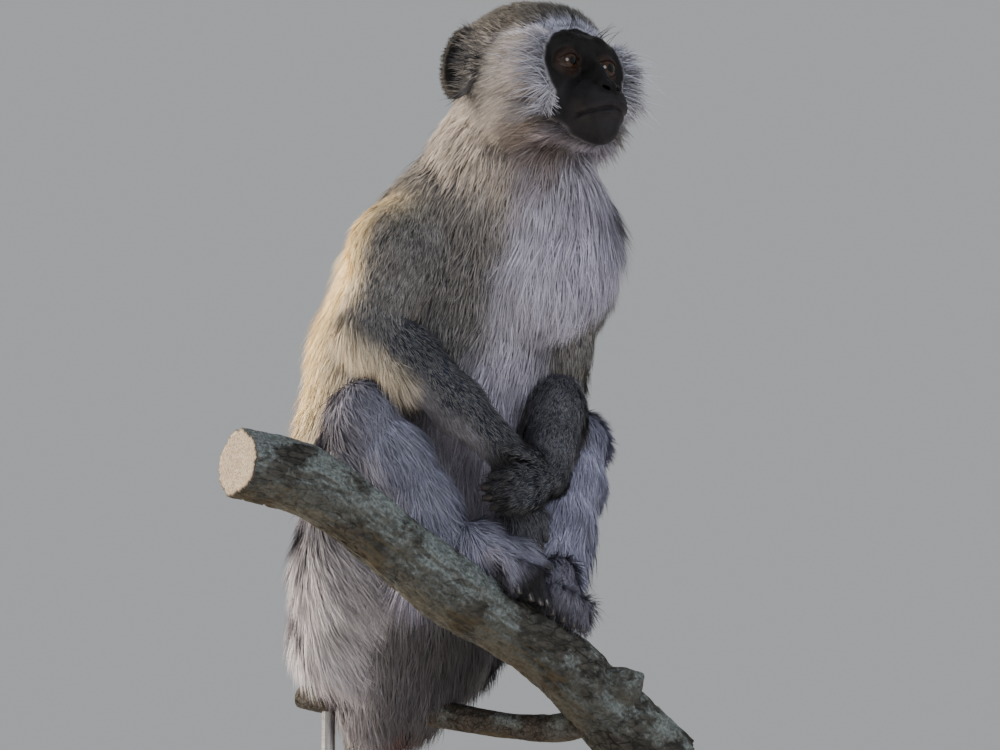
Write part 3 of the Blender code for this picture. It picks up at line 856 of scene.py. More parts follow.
def trunkCoat(c):
    # grizzled back with a golden rim of painted backlight, long pale chest and belly
    (x, y, z), (nx, ny, nz), core = c.p.T, c.n.T, c.core
    ahead = -ny / np.maximum(np.hypot(nx, ny), 1e-3)
    inward = -0.77 * np.abs(x - 14) - 0.64 * y + 4 * wobble(c.p, 17)
    front = core * ramp(ahead + 0.12, 0.0, 0.32) * ramp(inward - outlineAt("chest", z), -9, 9) * ramp(z, 0, 60)
    low = core * ramp(50 - z, 0, 60)
    c.lay(low, "low", 0.9, grizzle=0.15, length=26)
    # painted shadow: the low far side of the body under the branch
    c.lay(low * ramp(x, 0, 35), "rumpShadow")
    # painted backlight: hair facing back towards the warm key lamp turns gold, less so on the far side
    backlitGold = core * ramp(ny, -0.3, 0.55) * ramp(z, 20, 90) * ramp(236 - z, 0, 50)
    c.lay(backlitGold * (1 - 0.45 * ramp(x, -38, 5)), "backlitGold", 0.88, grizzle=0.25)
    c.lay(c.of["forearm"] * ramp(-nz, 0.15, 0.75), "inner", 0.75, grizzle=0.2)
    c.lay(core * ramp(c.ax, 30, 52) * (1 - front) * ramp(150 - z, 0, 60), "flank", 0.5)
    c.lay(front, "chest", grizzle=0.08, length=27, lift=15)


def limbCoat(c):
    # pale inside, painted sunlight on the shoulders and painted shade on the near upper arm, pale elbows partly
    # painted backlight, painted skylight on the far leg, short knees, long hair on haunch and heel
    (x, y, z), (nx, ny, nz), of, core = c.p.T, c.n.T, c.of, c.core
    leg, shoulder, arm = of["thigh"] + of["shin"], of["upperArm"] + core, of["upperArm"] + of["forearm"]
    c.lay((leg + of["upperArm"]) * ramp(-nx * np.sign(x), 0.25, 0.8), "inner", 0.7, grizzle=0.1)
    # painted sunlight: a warm gold on the back and top of the shoulders, strongest on the near side
    sunlit = shoulder * ramp(z, 176, 196) * ramp(ny + 0.3 * nz, -0.35, 0.2) * ramp(240 - z, 0, 22) * ramp(c.ax, 20, 44)
    patch = (np.stack([c.ax, y, z], 1) - vec(62, -64, 229)) / vec(20, 20, 11)
    sunlit = np.maximum(sunlit, shoulder * np.exp(-(patch ** 2).sum(1)))
    c.lay(sunlit, "backlitGold", np.where(x < 0, 0.85, 0.3), grizzle=0.5)
    # painted skylight: the front of the far leg is made paler and bluer than the near one
    c.lay(leg * ramp(x, 20, 50) * ramp(-ny, -0.2, 0.4), "lilac", 0.75)
    for side, s in sides.items():
        own, elbow = sideCoat[side], c.p - joints[side]["elbow"]
        # painted shade: the near upper arm, outside the sunlit patch, darkened to a cool grey
        shade = arm * ramp(4 - elbow @ vec(0.5 * s, 0, -0.83), 0, 12) * (1 - sunlit) * ramp(228 - z, 0, 30)
        c.lay(shade, "armShade", own["armShade"])
        # a pale fringe at the elbow, partly the hair's own colour and partly painted backlight: strongest where the
        # hair faces back and down, and on the near side
        nearElbow = arm * ramp(48 - np.linalg.norm(elbow - vec(0, 6, -6), axis=1), 0, 22) \
            * ramp(0.7 * ny - 0.7 * nz, -0.45, 0.15)
        c.lay(nearElbow, "elbow", own["elbow"], length=22, lift=26)
        c.lay(nearElbow * 0.7, grizzle=0.2)
        c.lay(of["shin"] * ramp(ny, 0.0, 0.7), length=30)
        c.lay(c.part("shin" + side) * ramp(70 - z, 0, 30), length=own["shinLength"], lift=24)
        c.lay(c.part("forearm" + side), "armPale", own["armPale"])
        cap = leg * np.exp(-(np.linalg.norm(c.p - joints[side]["knee"] - vec(0, 0, 6), axis=1) / 24) ** 2)
        c.lay(cap * 0.9, length=9, lift=6)
    c.lay(of["thigh"] * ramp(60 - z, 0, 40), "haunch", 0.8, length=26)
    # painted shadow under the branch on the low body and haunch, on the side away from the key lamp
    c.lay((core + of["thigh"]) * ramp(-z, -22, 2) * ramp(0.77 * x - 0.64 * y, -30, 0), "rumpShadow", 0.75)
    c.lay(core * ramp(ny, 0.0, 0.6) * ramp(z, 60, 110) * ramp(225 - z, 0, 40), length=24, lift=31)


def handAndFootCoat(c):
    # hair thins out to bare fingers, palms and soles
    nx, ny, nz = c.n.T
    c.drop = np.zeros(len(c.p))
    for kind, far, near, backLength in (("hand", "fingertip", "wrist", 12), ("foot", "toe", "heel", 15)):
        for side, s in sides.items():
            start, axis = joints[side][near], joints[side][far] - joints[side][near]
            reach = (c.p - start) @ axis / (axis @ axis)
            own = c.part(kind + side)
            c.lay(own * ramp(reach, 0.1, 0.4), kind + "Hair", sideCoat[side]["backed"], length=backLength, lift=20)
            c.lay(own * ramp(reach, 0.62, 1.0), length=4.5)
            tipward = own * ramp(reach, 0.8, 1.0)
            c.lay(tipward, "finger", grizzle=0.1)
            if kind == "foot":  # the shin's long hair hangs down past the heel
                curtain = own * ramp(nx * s + ny, 0.1, 0.7) * ramp(0.55 - reach, 0, 0.2)
                c.lay(curtain, "lilac", length=32, lift=12)
                c.drop = np.maximum(c.drop, curtain)
            under = own * ramp(ny if kind + side == "handR" else -nz, 0.1, 0.6)
            c.lay(under, "palm", 0.8)
            c.strip(tipward * 0.85, under)


def headCoat(c):
    # dark crown, pale brow and ruff round the mask, brown painted shadow at the throat and along the near jaw
    (x, y, z), ny, ax = c.p.T, c.n[:, 1], c.ax
    head = (c.of["head"] + c.of["face"]) * (1 - c.ear)
    c.mask = maskAt(c.p) * (head > 0.3)
    furred = 1 - c.mask
    wave = wobble(c.p, 9, 2.0) * 2.5
    crown = head * ramp(z + wave - 0.06 * (y + 110), 315, 321)
    nape = head * ramp(y, -104, -88) * ramp(ny, -0.1, 0.5)
    dark = np.clip(crown + nape, 0, 1) * ramp(z + 0.62 * (y + 155), 323, 326.5)
    pale = head * (1 - dark)
    c.lay(pale, "cheek", grizzle=0.12)
    c.lay(pale * ramp(y, -160, -140) * ramp(z + wave, 280, 296), "temple", 0.95, grizzle=0.8)
    c.lay(head * ramp(z, 312, 316) * (1 - dark) * ramp(-y, 128, 142), "brow", length=6.5)
    overhang = ax - outlineAt("mask", z)
    rim = head * np.exp(-((overhang - 1) / 3.2) ** 2) * ramp(-y, 136, 144)
    c.lay(rim * ramp(z, 268, 275) * (1 - dark), "brow", 0.48)
    c.lay(head * ramp(y, -130, -108) * ramp(294 - z, 0, 14), "hackle")
    c.lay(dark, "crown", grizzle=0.75, lift=17, length=14)
    c.cheek = head * ramp(ax, 24, 36) * ramp(-y, 96, 110) * ramp(308 - z, 0, 16) * furred
    c.lay(c.cheek, length=19, lift=38)
    c.lay(head * np.exp(-((y + 123) / 9) ** 2) * ramp(ax, 28, 36) * ramp(z, 280, 288), length=23, lift=40)
    c.lay(head * ramp(264 - z, 0, 10) * furred, length=15)
    c.lay(head * ramp(270 - z, 0, 8) * ramp(24 - ax, 0, 8), "chest")
    # painted shadow: warm brown in the fold below the jaw where the head turns
    throatShadow = (((c.p - vec(-8, -140, 257)) / vec(14, 26, 12)) ** 2).sum(1)
    c.lay((c.core + head) * np.exp(-throatShadow), "throatShadow", 0.85)
    c.lay(ramp(3.5 - overhang, 0, 3.5) * head * (-y > 135) * furred, length=11)
    ruff = head * np.exp(-((overhang - 4) / 6) ** 2)
    # painted shadow along the near jaw, just below the mask
    jawShadow = ruff * ramp(275 - z, 0, 8) * ramp(z, 250, 256) * ramp(-x, -4, 8)
    c.ruff = ruff * furred * (ramp(318 - z, 0, 14) * ramp(-y, 128, 138))
    c.lay(c.ruff, length=np.where(x > 0, 25, 21), lift=47)
    c.lay(jawShadow, "throatShadow", 0.42)
    c.notch = c.ruff * np.where(x < 0, 1, 0.35) * np.exp(-((z - 281) / 4.5) ** 2)  # a pale lock over the mask's edge
    c.lay(c.notch, "brow", 0.55, length=13, lift=13)


def faceCoat(c):
    # the black face: lids, nose and lips bare, short down elsewhere
    (x, y, z), ring = c.p.T, eyeRing(c.p)
    face = c.mask * (y < -140)
    c.lay(face, "mask")
    c.lay(face * ramp(294 - z, 0, 12), "muzzle", 0.8)
    c.lay(face * np.exp(-((ring - 7.0) / 2.4) ** 2) * (y < -150), "lid", 0.45)
    noseTip = face * ramp(-y, 174, 178) * ramp(z, 278.5, 281) * ramp(11 - c.ax, 0, 3)
    lips = face * ramp(-y, 168, 173) * ramp(278 - z, 0, 2.5) * ramp(z, 262, 266)
    c.lay(noseTip, "nose")
    c.lay(lips, "lip", 0.5)
    c.lay(face, grizzle=0.0, length=2.6, lift=13, growth=3.2)
    c.strip(face * 0.8, noseTip, face * ramp(10.5 - ring, 0, 2), lips)
    c.growth *= 1 - face * np.maximum(noseTip, np.maximum(ramp(11 - ring, 0, 1.5), lips * 0.85))


def earCoat(c):
    # black, with pale hairs inside and along the front rim
    c.lay(c.ear, "ear")
    c.strip(c.ear * 0.8)
    for side, s in sides.items():
        middle, _, m = earPlace(s)
        frontRim = c.part("ear" + side) * ramp((c.p - middle) @ m[:, 1] / -11, 0.0, 0.6)
        c.lay(frontRim, "earHair", 0.8, length=16, lift=20)
        c.growth *= 1 - 0.72 * frontRim


def tailCoat(c):
    # the tail darkens to its tip, and the rosy patch under it is bare
    z, own = c.p[:, 2], c.of["tail"]
    c.lay(own * ramp(-z, 60, 200), "tailTip", 0.25)
    c.lay(own * ramp(20 - np.linalg.norm(c.p - tailPoint(1.0), axis=1), 0, 18), "tailTip")
    c.lay(own * ramp(z, -60, -20), length=17)
    seat = c.core * ramp(-c.n[:, 2], 0.3, 0.8) * ramp(-z, 28, 42)
    rosy = seat * ramp(17 - np.linalg.norm((c.p - vec(0, -8, -44))[:, :2], axis=1), 0, 8)
    c.lay(rosy, "rosy")
    c.strip(rosy)
    c.growth *= 1 - 0.9 * rosy


def hairFlow(c):
    # hair streams back from the nose, down the limbs and out at the ruff, and always lies along the skin
    p, n, of = c.p, c.n, c.of
    away = p - vec(0, -196, 288)
    away /= np.linalg.norm(away, axis=1)[:, None]
    flow = c.flow + away * (of["head"] + of["face"] + of["ear"])[:, None]
    flow[:, 2] -= 0.55 * of["trunk"] + 0.25 * (of["shin"] + of["upperArm"] + of["neck"])
    flow[:, 1] += 0.3 * c.cheek + 0.3 * of["forearm"] + 0.75 * of["thigh"] * ramp(n[:, 1], -0.25, 0.5)
    flow = blendTo(flow, c.drop, 0.0) + c.drop[:, None] * vec(0, 0, -1)
    flow[:, 2] -= 0.35 * c.cheek
    flow[:, 0] += 1.1 * np.sign(p[:, 0]) * c.ruff
    flow[:, 1] -= 0.35 * c.ruff
    flow = blendTo(flow, c.notch, 0.0) + c.notch[:, None] * (vec(0, -170, 268) - p) / 30
    flow = flow - (flow * n).sum(1)[:, None] * n
    c.flow = flow / np.maximum(np.linalg.norm(flow, axis=1), 1e-6)[:, None]


def describe(p, n):
    c = Pelt(p, n)
    for layOn in (trunkCoat, limbCoat, handAndFootCoat, headCoat, faceCoat, earCoat, tailCoat, hairFlow):
        layOn(c)
    c.bare = np.clip(c.bare, 0, 1)
    names = ("share", "flow", "length", "lift", "growth", "colour", "grizzle", "bare")
    return {name: getattr(c, name) for name in names}


skinFacts = describe(skinVerts, skinNormals)
skin = addMesh("skin", skinVerts, skinQuads, skinMaterial())
addColour(skin, "markings", skinFacts["colour"])
addValue(skin, "grizzle", skinFacts["grizzle"])
addValue(skin, "bare", skinFacts["bare"])
flesh = [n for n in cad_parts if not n.startswith(("stand_", "perch_", "eye_"))]
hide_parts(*flesh)
print("skin markings done")


coatPieces = {  # name: parts of the body, number of tufts, width mm, clump mm, bends in a tuft
    "coat_head": (("head",), 65500, 0.34, 3.4, 2),
    "coat_face": (("face", "earR", "earL"), 31000, 0.30, 2.8, 2),
    "coat_front": (("trunk", "neck"), 39500, 0.52, 5.5, 3),
    "coat_back": (("trunk", "neck"), 39500, 0.56, 4.6, 3),
    "coat_arms": (("upperArmR", "upperArmL", "forearmR", "forearmL"), 65500, 0.40, 3.0, 2),
    "coat_hands": (("handR", "handL", "footR", "footL"), 31000, 0.34, 3.2, 2),
    "coat_thighs": (("thighR", "thighL"), 39500, 0.54, 5.5, 3),
    "coat_shins": (("shinR", "shinL"), 39500, 0.46, 5.0, 3),
    "coat_tail": (("tail",), 30000, 0.50, 4.0, 2),
}
blades = {2: ((0.0, 0.52, 1.0), (0.9, 0.85, 0.0)), 3: ((0.0, 0.34, 0.7, 1.0), (0.8, 1.0, 0.7, 0.0))}
tufts = {  # how they lie; a pair is a least share and what is added to it at random
    "pull": 0.28, "turn": 9.0, "hairTurn": 9.0, "bend": 0.34, "length": (0.72, 0.5), "clumpLength": (0.9, 0.2),
    "lift": (0.45, 0.95), "clumpLift": (0.8, 0.4), "width": (0.75, 0.5), "shade": (0.22, 0.4), "upward": 0.28,
}


def vary(name, count):
    least, more = tufts[name]
    return least + more * rng.random(count)


def pickRoots(weights, count):
    totals = np.cumsum(weights)
    chosen = np.searchsorted(totals, rng.random(count) * totals[-1])
    quad = skinQuads[np.minimum(chosen, len(skinQuads) - 1)]
    u, v = rng.random((2, count, 1))
    corner = ((1 - u) * (1 - v), u * (1 - v), u * v, (1 - u) * v)
    p = sum(skinVerts[quad[:, k]] * corner[k] for k in range(4))
    n = sum(skinNormals[quad[:, k]] * corner[k] for k in range(4))
    return p, n / np.linalg.norm(n, axis=1)[:, None]


quadCorners = skinVerts[skinQuads]
quadArea = np.linalg.norm(np.cross(quadCorners[:, 2] - quadCorners[:, 0], quadCorners[:, 3] - quadCorners[:, 1]),
                          axis=1) / 2


def rotate(v, axis, angle):
    c, s = np.cos(angle)[:, None], np.sin(angle)[:, None]
    return v * c + np.cross(axis, v) * s + axis * (axis * v).sum(1)[:, None] * (1 - c)


def clumpOf(p, size):
    q = p + np.stack([wobble(p, size * 1.3, k) for k in (0.0, 2.1, 4.2)], 1) * size * 0.5
    cell = np.floor(q / size).astype(np.int64)
    _, index = np.unique(cell[:, 0] * 4000003 + cell[:, 1] * 2003 + cell[:, 2], return_inverse=True)
    count = np.bincount(index)
    centre = np.stack([np.bincount(index, p[:, k]) for k in range(3)], 1) / count[:, None]
    return index, centre


def unwrapAt(p, share, tags):
    # each part of the body is a rectangle of the sheet: round it across, along it upwards
    columns = math.ceil(math.sqrt(len(tags)))
    ids = [tagNames.index(t) for t in tags]
    which = np.argmax(share[:, ids], axis=1)
    uv = np.zeros((len(p), 2))
    for i, tag in enumerate(tags):
        own = which == i
        if not own.any():
            continue
        q = p[own]
        middle = q.mean(0)
        _, _, axes = np.linalg.svd((q - middle)[:: max(1, len(q) // 2000)], full_matrices=False)
        local = (q - middle) @ axes.T
        span = np.abs(local[:, 0]).max() + 1e-6
        u = np.arctan2(local[:, 2], local[:, 1]) / (2 * math.pi) + 0.5
        v = local[:, 0] / span / 2 + 0.5
        size = 1 / columns
        uv[own, 0] = ((i % columns) + 0.02 + 0.96 * u) * size
        uv[own, 1] = ((i // columns) + 0.02 + 0.96 * v) * size
    return uv


def growCoat(name, tags, count, width, size, bends, material):
    ids = [tagNames.index(t) for t in tags]
    own = skinFacts["share"][:, ids].sum(1)
    if name == "coat_front":
        own = own * (skinNormals[:, 1] < 0.12)
    if name == "coat_back":
        own = own * (skinNormals[:, 1] >= 0.12)
    weight = (own * skinFacts["growth"])[skinQuads].mean(1) * (own[skinQuads].mean(1) > 0.3)
    p, n = pickRoots(weight * quadArea, count)
    facts = describe(p, n)
    keep = rng.random(len(p)) > ramp(facts["bare"], 0.9, 1.0)
    p, n = p[keep], n[keep]
    facts = {k: v[keep] for k, v in facts.items()}
    count = len(p)
    index, centre = clumpOf(p, size)
    centre = centre[index]
    clumpCount = index.max() + 1
    turn = rng.normal(0, tufts["turn"], clumpCount)[index] + rng.normal(0, tufts["hairTurn"], count)
    turn = turn * math.pi / 180
    along = rotate(facts["flow"], n, turn)
    length = facts["length"] * vary("length", count) * vary("clumpLength", clumpCount)[index]
    lift = np.radians(facts["lift"] * vary("lift", count) * vary("clumpLift", clumpCount)[index])
    droop = tufts["bend"] * length * np.clip(length / 25, 0, 1)
    pull = centre - p
    pull = pull - (pull * n).sum(1)[:, None] * n
    pull *= tufts["pull"] * np.clip(length / 12, 0, 1)[:, None]
    side = np.cross(along, n)
    wide = width * np.clip(0.55 + length / 26, 0.6, 1.2) * vary("width", count)
    steps, tapers = blades[bends]
    points = 2 * bends + 1
    rows = []
    for t, taper in zip(steps, tapers):
        rise = np.sin(lift) * (t - 0.42 * t * t) * length
        c = p - n * 0.5 + along * (np.cos(lift) * t * length)[:, None] + n * rise[:, None] + pull * t * t
        c[:, 2] -= droop * t * t * 0.35
        if t < 1:
            half = side * (wide * taper / 2)[:, None]
            rows += [c - half, c + half]
        else:
            rows.append(c)
    verts = np.stack(rows, 1)  # count x points x 3
    first = (np.arange(count) * points)[:, None]
    triangles = [t for k in range(0, points - 3, 2) for t in ((k, k + 1, k + 3), (k, k + 3, k + 2))]
    triangles = np.array(triangles + [(points - 3, points - 2, points - 1)])
    faces = (first[:, :, None] + triangles[None]).reshape(-1, 3)
    obj = addMesh(name, verts.reshape(-1, 3), faces, material)
    shade = 1 + (rng.random(clumpCount)[index] - 0.5) * (tufts["shade"][0] + tufts["shade"][1] * facts["grizzle"])
    addColour(obj, "markings", np.repeat(facts["colour"] * shade[:, None], points, axis=0))
    addValue(obj, "grizzle", np.repeat(facts["grizzle"], points))
    addValue(obj, "tuft", np.repeat(rng.random(count), points))
    share = np.repeat(steps, 2)[:points]
    addValue(obj, "along", np.tile(share, count))
    roots = unwrapAt(p, facts["share"], tags)
    across = np.array([-1, 1] * bends + [0]) * 0.0015
    uv = roots[:, None, :] + np.stack([across, share * 0.003], 1)[None]
    addBakeMap(obj, np.clip(uv.reshape(-1, 2), 0, 1), faces)
    # soft shading: every tuft mostly takes the light of the body beneath it
    lean = n + along * 0.2 + rng.normal(0, 0.16, (count, 3))
    lean[:, 2] += tufts["upward"]
    lean /= np.linalg.norm(lean, axis=1)[:, None]
    obj.data.normals_split_custom_set_from_vertices(np.repeat(lean, points, axis=0).astype(np.float32))
    print(name, count, "tufts")


hairMaterial = coatMaterial("coatHair", 0.12)
faceHairMaterial = coatMaterial("faceHair", 0.05)
for pieceName, settings in coatPieces.items():
    growCoat(pieceName, *settings, faceHairMaterial if pieceName == "coat_face" else hairMaterial)

whiskers = {"cheek": 36, "brow": 12, "length": (20, 36), "browLength": (12, 20), "width": 0.24, "steps": 9}


def addWhiskers(material):
    # long single hairs that stand out round the face
    roots, ways, lengths, colours = [], [], [], []
    for s in (-1, 1):
        for _ in range(whiskers["cheek"]):
            z = rng.uniform(276, 314)
            x = outlineAt("mask", z) + rng.uniform(1, 7)
            roots.append((x * s, -168, z))
            ways.append((s * rng.uniform(0.7, 1.1), rng.uniform(-0.55, 0.15), rng.uniform(-0.35, 0.4)))
            lengths.append(rng.uniform(*whiskers["length"]))
            colours.append(tones["brow"] * 0.9)
        for _ in range(whiskers["brow"]):
            roots.append((s * rng.uniform(3, 22), -172, rng.uniform(315, 322)))
            ways.append((s * rng.uniform(0.1, 0.6), rng.uniform(-0.9, -0.4), rng.uniform(0.3, 0.9)))
            lengths.append(rng.uniform(*whiskers["browLength"]))
            colours.append(tones["mask"] * 1.3)
    p, d = np.array(roots), np.array(ways)
    d /= np.linalg.norm(d, axis=1)[:, None]
    for _ in range(14):  # let every root sink back on to the skin
        p[:, 1] += np.clip(fieldAt(p), -4, 4)
    count = whiskers["steps"]
    steps = np.linspace(0, 1, count)
    side = np.cross(d, vec(-0.64, -0.77, 0))
    side /= np.linalg.norm(side, axis=1)[:, None]
    verts, faces = [], []
    for i in range(len(p)):
        base = len(verts)
        for t in steps:
            c = p[i] + d[i] * lengths[i] * t + vec(0, 3.0, -4.5) * t * t
            w = whiskers["width"] * (1 - t) ** 0.7 / 2
            verts += [c - side[i] * w, c + side[i] * w]
        faces += [(base + 2 * k, base + 2 * k + 1, base + 2 * k + 3, base + 2 * k + 2) for k in range(count - 1)]
    obj = addMesh("whiskers", verts, faces, material)
    addColour(obj, "markings", np.repeat(np.array(colours), 2 * count, axis=0))
    for fact, value in (("grizzle", 0.0), ("tuft", 0.5), ("along", 0.5)):
        addValue(obj, fact, np.full(len(verts), value))
    spot = np.repeat(rng.random((len(p), 2)) * 0.99, 2 * count, axis=0)
    spot += np.tile(np.stack([np.tile([0, 0.003], count), np.repeat(steps, 2) * 0.003], 1), (len(p), 1))
    addBakeMap(obj, spot, faces)


addWhiskers(hairMaterial)
print("whiskers done")


eyeball = {"iris": 5.7, "pupil": 2.3, "bulge": 0.55, "gaze": (0.10, -1.0, 0.0), "rings": 72, "spokes": 96}


def eyeMaterial():
    material, n, shader = newMaterial("eye", {"Specular IOR Level": 0.05, "Coat Weight": 0.55, "Coat Roughness": 0.03})
    radius, rim, pupil = n.attribute("radius"), eyeball["iris"], eyeball["pupil"]
    spoke = n.attribute("spoke", "Vector")
    fibres = n.noise(spoke, 9.0, 4.0, 0.65)
    flecks = n.noise(spoke, 3.0, 2.0)
    iris = n.mix(n.smooth(fibres, 0.3, 0.7), (0.012, 0.006, 0.004), (0.050, 0.023, 0.011))
    iris = n.mix(n.smooth(flecks, 0.45, 0.75, 0.0, 0.35), iris, (0.085, 0.04, 0.018))
    iris = n.mix(n.smooth(radius, rim - 1.4, rim - 0.1), iris, (0.012, 0.007, 0.005))
    iris = n.mix(n.smooth(radius, pupil + 0.6, pupil - 0.2), iris, (0.002, 0.002, 0.002))
    place = n.place()
    veins = n.noise(place, 700.0, 3.0)
    white = n.mix(n.smooth(veins, 0.4, 0.65), (0.020, 0.013, 0.010), (0.05, 0.03, 0.022))
    colour = n.mix(n.smooth(radius, rim - 0.3, rim + 0.3), iris, white)
    link(n, shader, colour=colour, roughness=n.smooth(veins, 0.3, 0.7, 0.22, 0.3))
    return material


def addEye(side, s, material):
    gaze = vec(*eyeball["gaze"])
    gaze /= np.linalg.norm(gaze)
    across = np.cross(gaze, vec(0, 0, 1))
    across /= np.linalg.norm(across)
    up = np.cross(across, gaze)
    rings, spokes = eyeball["rings"], eyeball["spokes"]
    theta = (np.linspace(0, 1, rings) ** 1.25 * math.pi)[:, None]
    phi = (np.arange(spokes) / spokes * 2 * math.pi)[None]
    r = body["eyeRadius"] - 0.12
    arc = theta * r * np.ones_like(phi)
    swell = eyeball["bulge"] * np.clip(1 - (arc / (eyeball["iris"] + 0.6)) ** 2, 0, 1)
    out = (r + swell)[..., None] * (np.cos(theta)[..., None] * gaze + np.sin(theta)[..., None] *
                                    (np.cos(phi)[..., None] * across + np.sin(phi)[..., None] * up))
    centre = vec(body["eyeSpread"] * s, *body["eyeAt"])
    verts = (centre + out).reshape(-1, 3)
    i, j = np.meshgrid(np.arange(rings - 1), np.arange(spokes), indexing="ij")
    faces = np.stack([i * spokes + j, (i + 1) * spokes + j, (i + 1) * spokes + (j + 1) % spokes,
                      i * spokes + (j + 1) % spokes], -1).reshape(-1, 4)
    obj = addMesh("eyeball_" + side.lower(), verts, faces, material)
    weldClose(obj)
    co = np.empty(len(obj.data.vertices) * 3)
    obj.data.vertices.foreach_get("co", co)
    local = co.reshape(-1, 3) * 1000 - hip - centre
    depth = np.arccos(np.clip(local @ gaze / np.linalg.norm(local, axis=1), -1, 1)) * r
    angle = np.arctan2(local @ up, local @ across)
    addValue(obj, "radius", depth)
    layer = obj.data.attributes.new("spoke", "FLOAT_VECTOR", "POINT")
    layer.data.foreach_set("vector", np.stack([np.cos(angle), np.sin(angle), depth * 0.06 + s], 1)
                           .astype(np.float32).ravel())
    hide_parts("eye_" + side.lower())


def weldClose(obj, distance=1e-6):
    bm = bmesh.new()
    bm.from_mesh(obj.data)
    bmesh.ops.remove_doubles(bm, verts=bm.verts, dist=distance)
    bmesh.ops.recalc_face_normals(bm, faces=bm.faces)
    bm.to_mesh(obj.data)
    bm.free()


irisMaterial = eyeMaterial()
for side, s in sides.items():
    addEye(side, s, irisMaterial)


def nailMaterial():
    material, n, shader = newMaterial("nail")
    place = n.place()
    streaks = n.noise(place, 1100.0, 3.0)
    link(n, shader, colour=n.mix(n.smooth(streaks, 0.3, 0.7), (0.010, 0.008, 0.008), (0.035, 0.028, 0.026)),
         roughness=n.smooth(streaks, 0.3, 0.7, 0.28, 0.42),
         normal=n.bump(0.3, 0.0002, streaks))
    return material


def addNails(material):
    # a curved plate on the back of every fingertip, thin at its free edge
    across, along = np.meshgrid(np.linspace(-1, 1, 9), np.linspace(-1, 1, 9), indexing="ij")
    allVerts, allFaces, start = [], [], 0
    for tip, way, up, r in nails:
        way = way / np.linalg.norm(way)
        up = up - way * (up @ way)
        up /= np.linalg.norm(up)
        side = np.cross(way, up)
        wide, long = r * 0.82, r * 1.25
        outline = np.sqrt(np.clip(1 - np.clip(along, -1, 1) ** 2 * 0.55, 0, 1))
        x = across * outline * wide
        top = (r + 0.55) * np.cos(across * outline * 0.95) + 0.1
        y = along * long + r * 0.55
        sheet = tip + x[..., None] * side + y[..., None] * way + (top - 0.25 * along ** 2)[..., None] * up
        under = sheet - up * 0.75
        verts = np.concatenate([sheet.reshape(-1, 3), under.reshape(-1, 3)])
        faces = []
        for i in range(8):
            for j in range(8):
                a = i * 9 + j
                faces += [(a, a + 9, a + 10, a + 1), (a + 81, a + 82, a + 91, a + 90)]
        rim = [i * 9 for i in range(9)] + [72 + j for j in range(1, 9)] + [i * 9 + 8 for i in range(7, -1, -1)] + \
              [j for j in range(7, 0, -1)]
        for a, b in zip(rim, rim[1:] + rim[:1]):
            faces.append((b, a, a + 81, b + 81))
        allVerts.append(verts)
        allFaces.append(np.array(faces) + start)
        start += len(verts)
    obj = addMesh("nails", np.concatenate(allVerts), np.concatenate(allFaces), material)
    weldClose(obj, 1e-7)


addNails(nailMaterial())
print("eyes and nails done")


bark = {
    "branchLine": np.array([  # x, height of the centre, radius
        (-186, 71, 18.5), (-150, 67.5, 19.5), (-134, 62, 19.5), (-109, 46.5, 18.5), (-85, 30, 18.5),
        (-60, 12.5, 20.5), (-33, -0.5, 19), (-5, -11.5, 18.5), (24, -27, 19.5), (52, -49, 22), (64, -59, 23),
        (96, -85, 23.5)], float),
    "twigRadius": 7.0, "ridge": 1.3, "lump": 1.4,
    "twigLine": [(-31, 56, -43), (-24, 38, -46), (-12, 12, -50), (-1, -14, -52.5), (12, -42, -57), (26, -72, -62),
                 (38, -98, -63), (47, -112, -58)],
    "cutRings": (0.94, 0.8, 0.6, 0.4, 0.2, 0.04),
    "knots": [(56, (0, -16, 12), 9.0, 8.5), (-20, (-14, -6, 16), 8.0, 3.2), (-96, (6, -20, -2), 9.0, 3.0),
              (18, (-8, -20, -8), 7.0, 3.6)],
}


def branchAt(x):
    # eased over 14 mm, so that the bends of the line are round
    line = bark["branchLine"]
    height = np.mean([np.interp(x + d, line[:, 0], line[:, 1], left=71 - 0.1 * (x + d + 186),
                                right=-85 - 0.8 * (x + d - 96)) for d in (-14, -7, 0, 7, 14)])
    return vec(x, -101 - (x + 137) * 0.081 + 2.2 * math.sin(x / 31), height)


def branchRadius(x):
    line = bark["branchLine"]
    return np.mean([np.interp(x + d, line[:, 0], line[:, 2]) for d in (-9, 0, 9)])


def barkLift(p, q, knots, ridge, lump):
    # how far the bark stands out: slow lumps, plates with cracks between them, and knots in a dip
    low = noise.fractal(q * 0.55 + Vector((3, 1, 7)), 0.8, 2.1, 3)
    plates = noise.fractal(Vector((q.x * 2.6, q.y * 2.6, q.z * 2.2)), 0.6, 2.2, 4)
    crack = abs(noise.noise(Vector((q.x * 3.7 + low, q.y * 3.7, q.z * 2.8))))
    lift = lump * low + ridge * 0.75 * plates - ridge * math.exp(-(crack / 0.07) ** 2)
    for centre, size, height in knots:
        d = np.linalg.norm(p - centre)
        lift += height * math.exp(-(d / size) ** 2) * (1 + 0.25 * plates) - 0.35 * height * \
            math.exp(-((d - size * 1.5) / (size * 0.4)) ** 2)
    return lift


def sawnEnds(outer, way, around):
    # rings that close both ends, a little dished
    rings, faces = [], []
    last = len(way) - 1
    for end, i in ((0, 0), (1, last)):
        rim = outer[i * around:(i + 1) * around]
        middle = rim.mean(0)
        outward = way[i] * (1 if end else -1)
        before = [i * around + j for j in range(around)]
        for step in bark["cutRings"]:
            base = len(outer) + sum(len(r) for r in rings)
            ring = middle + (rim - middle) * step
            tilt = np.array([noise.noise(Vector((r[0] / 6, r[1] / 6, r[2] / 6 + end))) for r in ring])
            rings.append(ring + outward * (0.5 - 0.5 * (1 - step) + 0.25 * tilt)[:, None])
            now = [base + j for j in range(around)]
            for j in range(around):
                k = (j + 1) % around
                f = (before[j], before[k], now[k], now[j])
                faces.append(f[::-1] if end else f)
            before = now
    return rings, faces


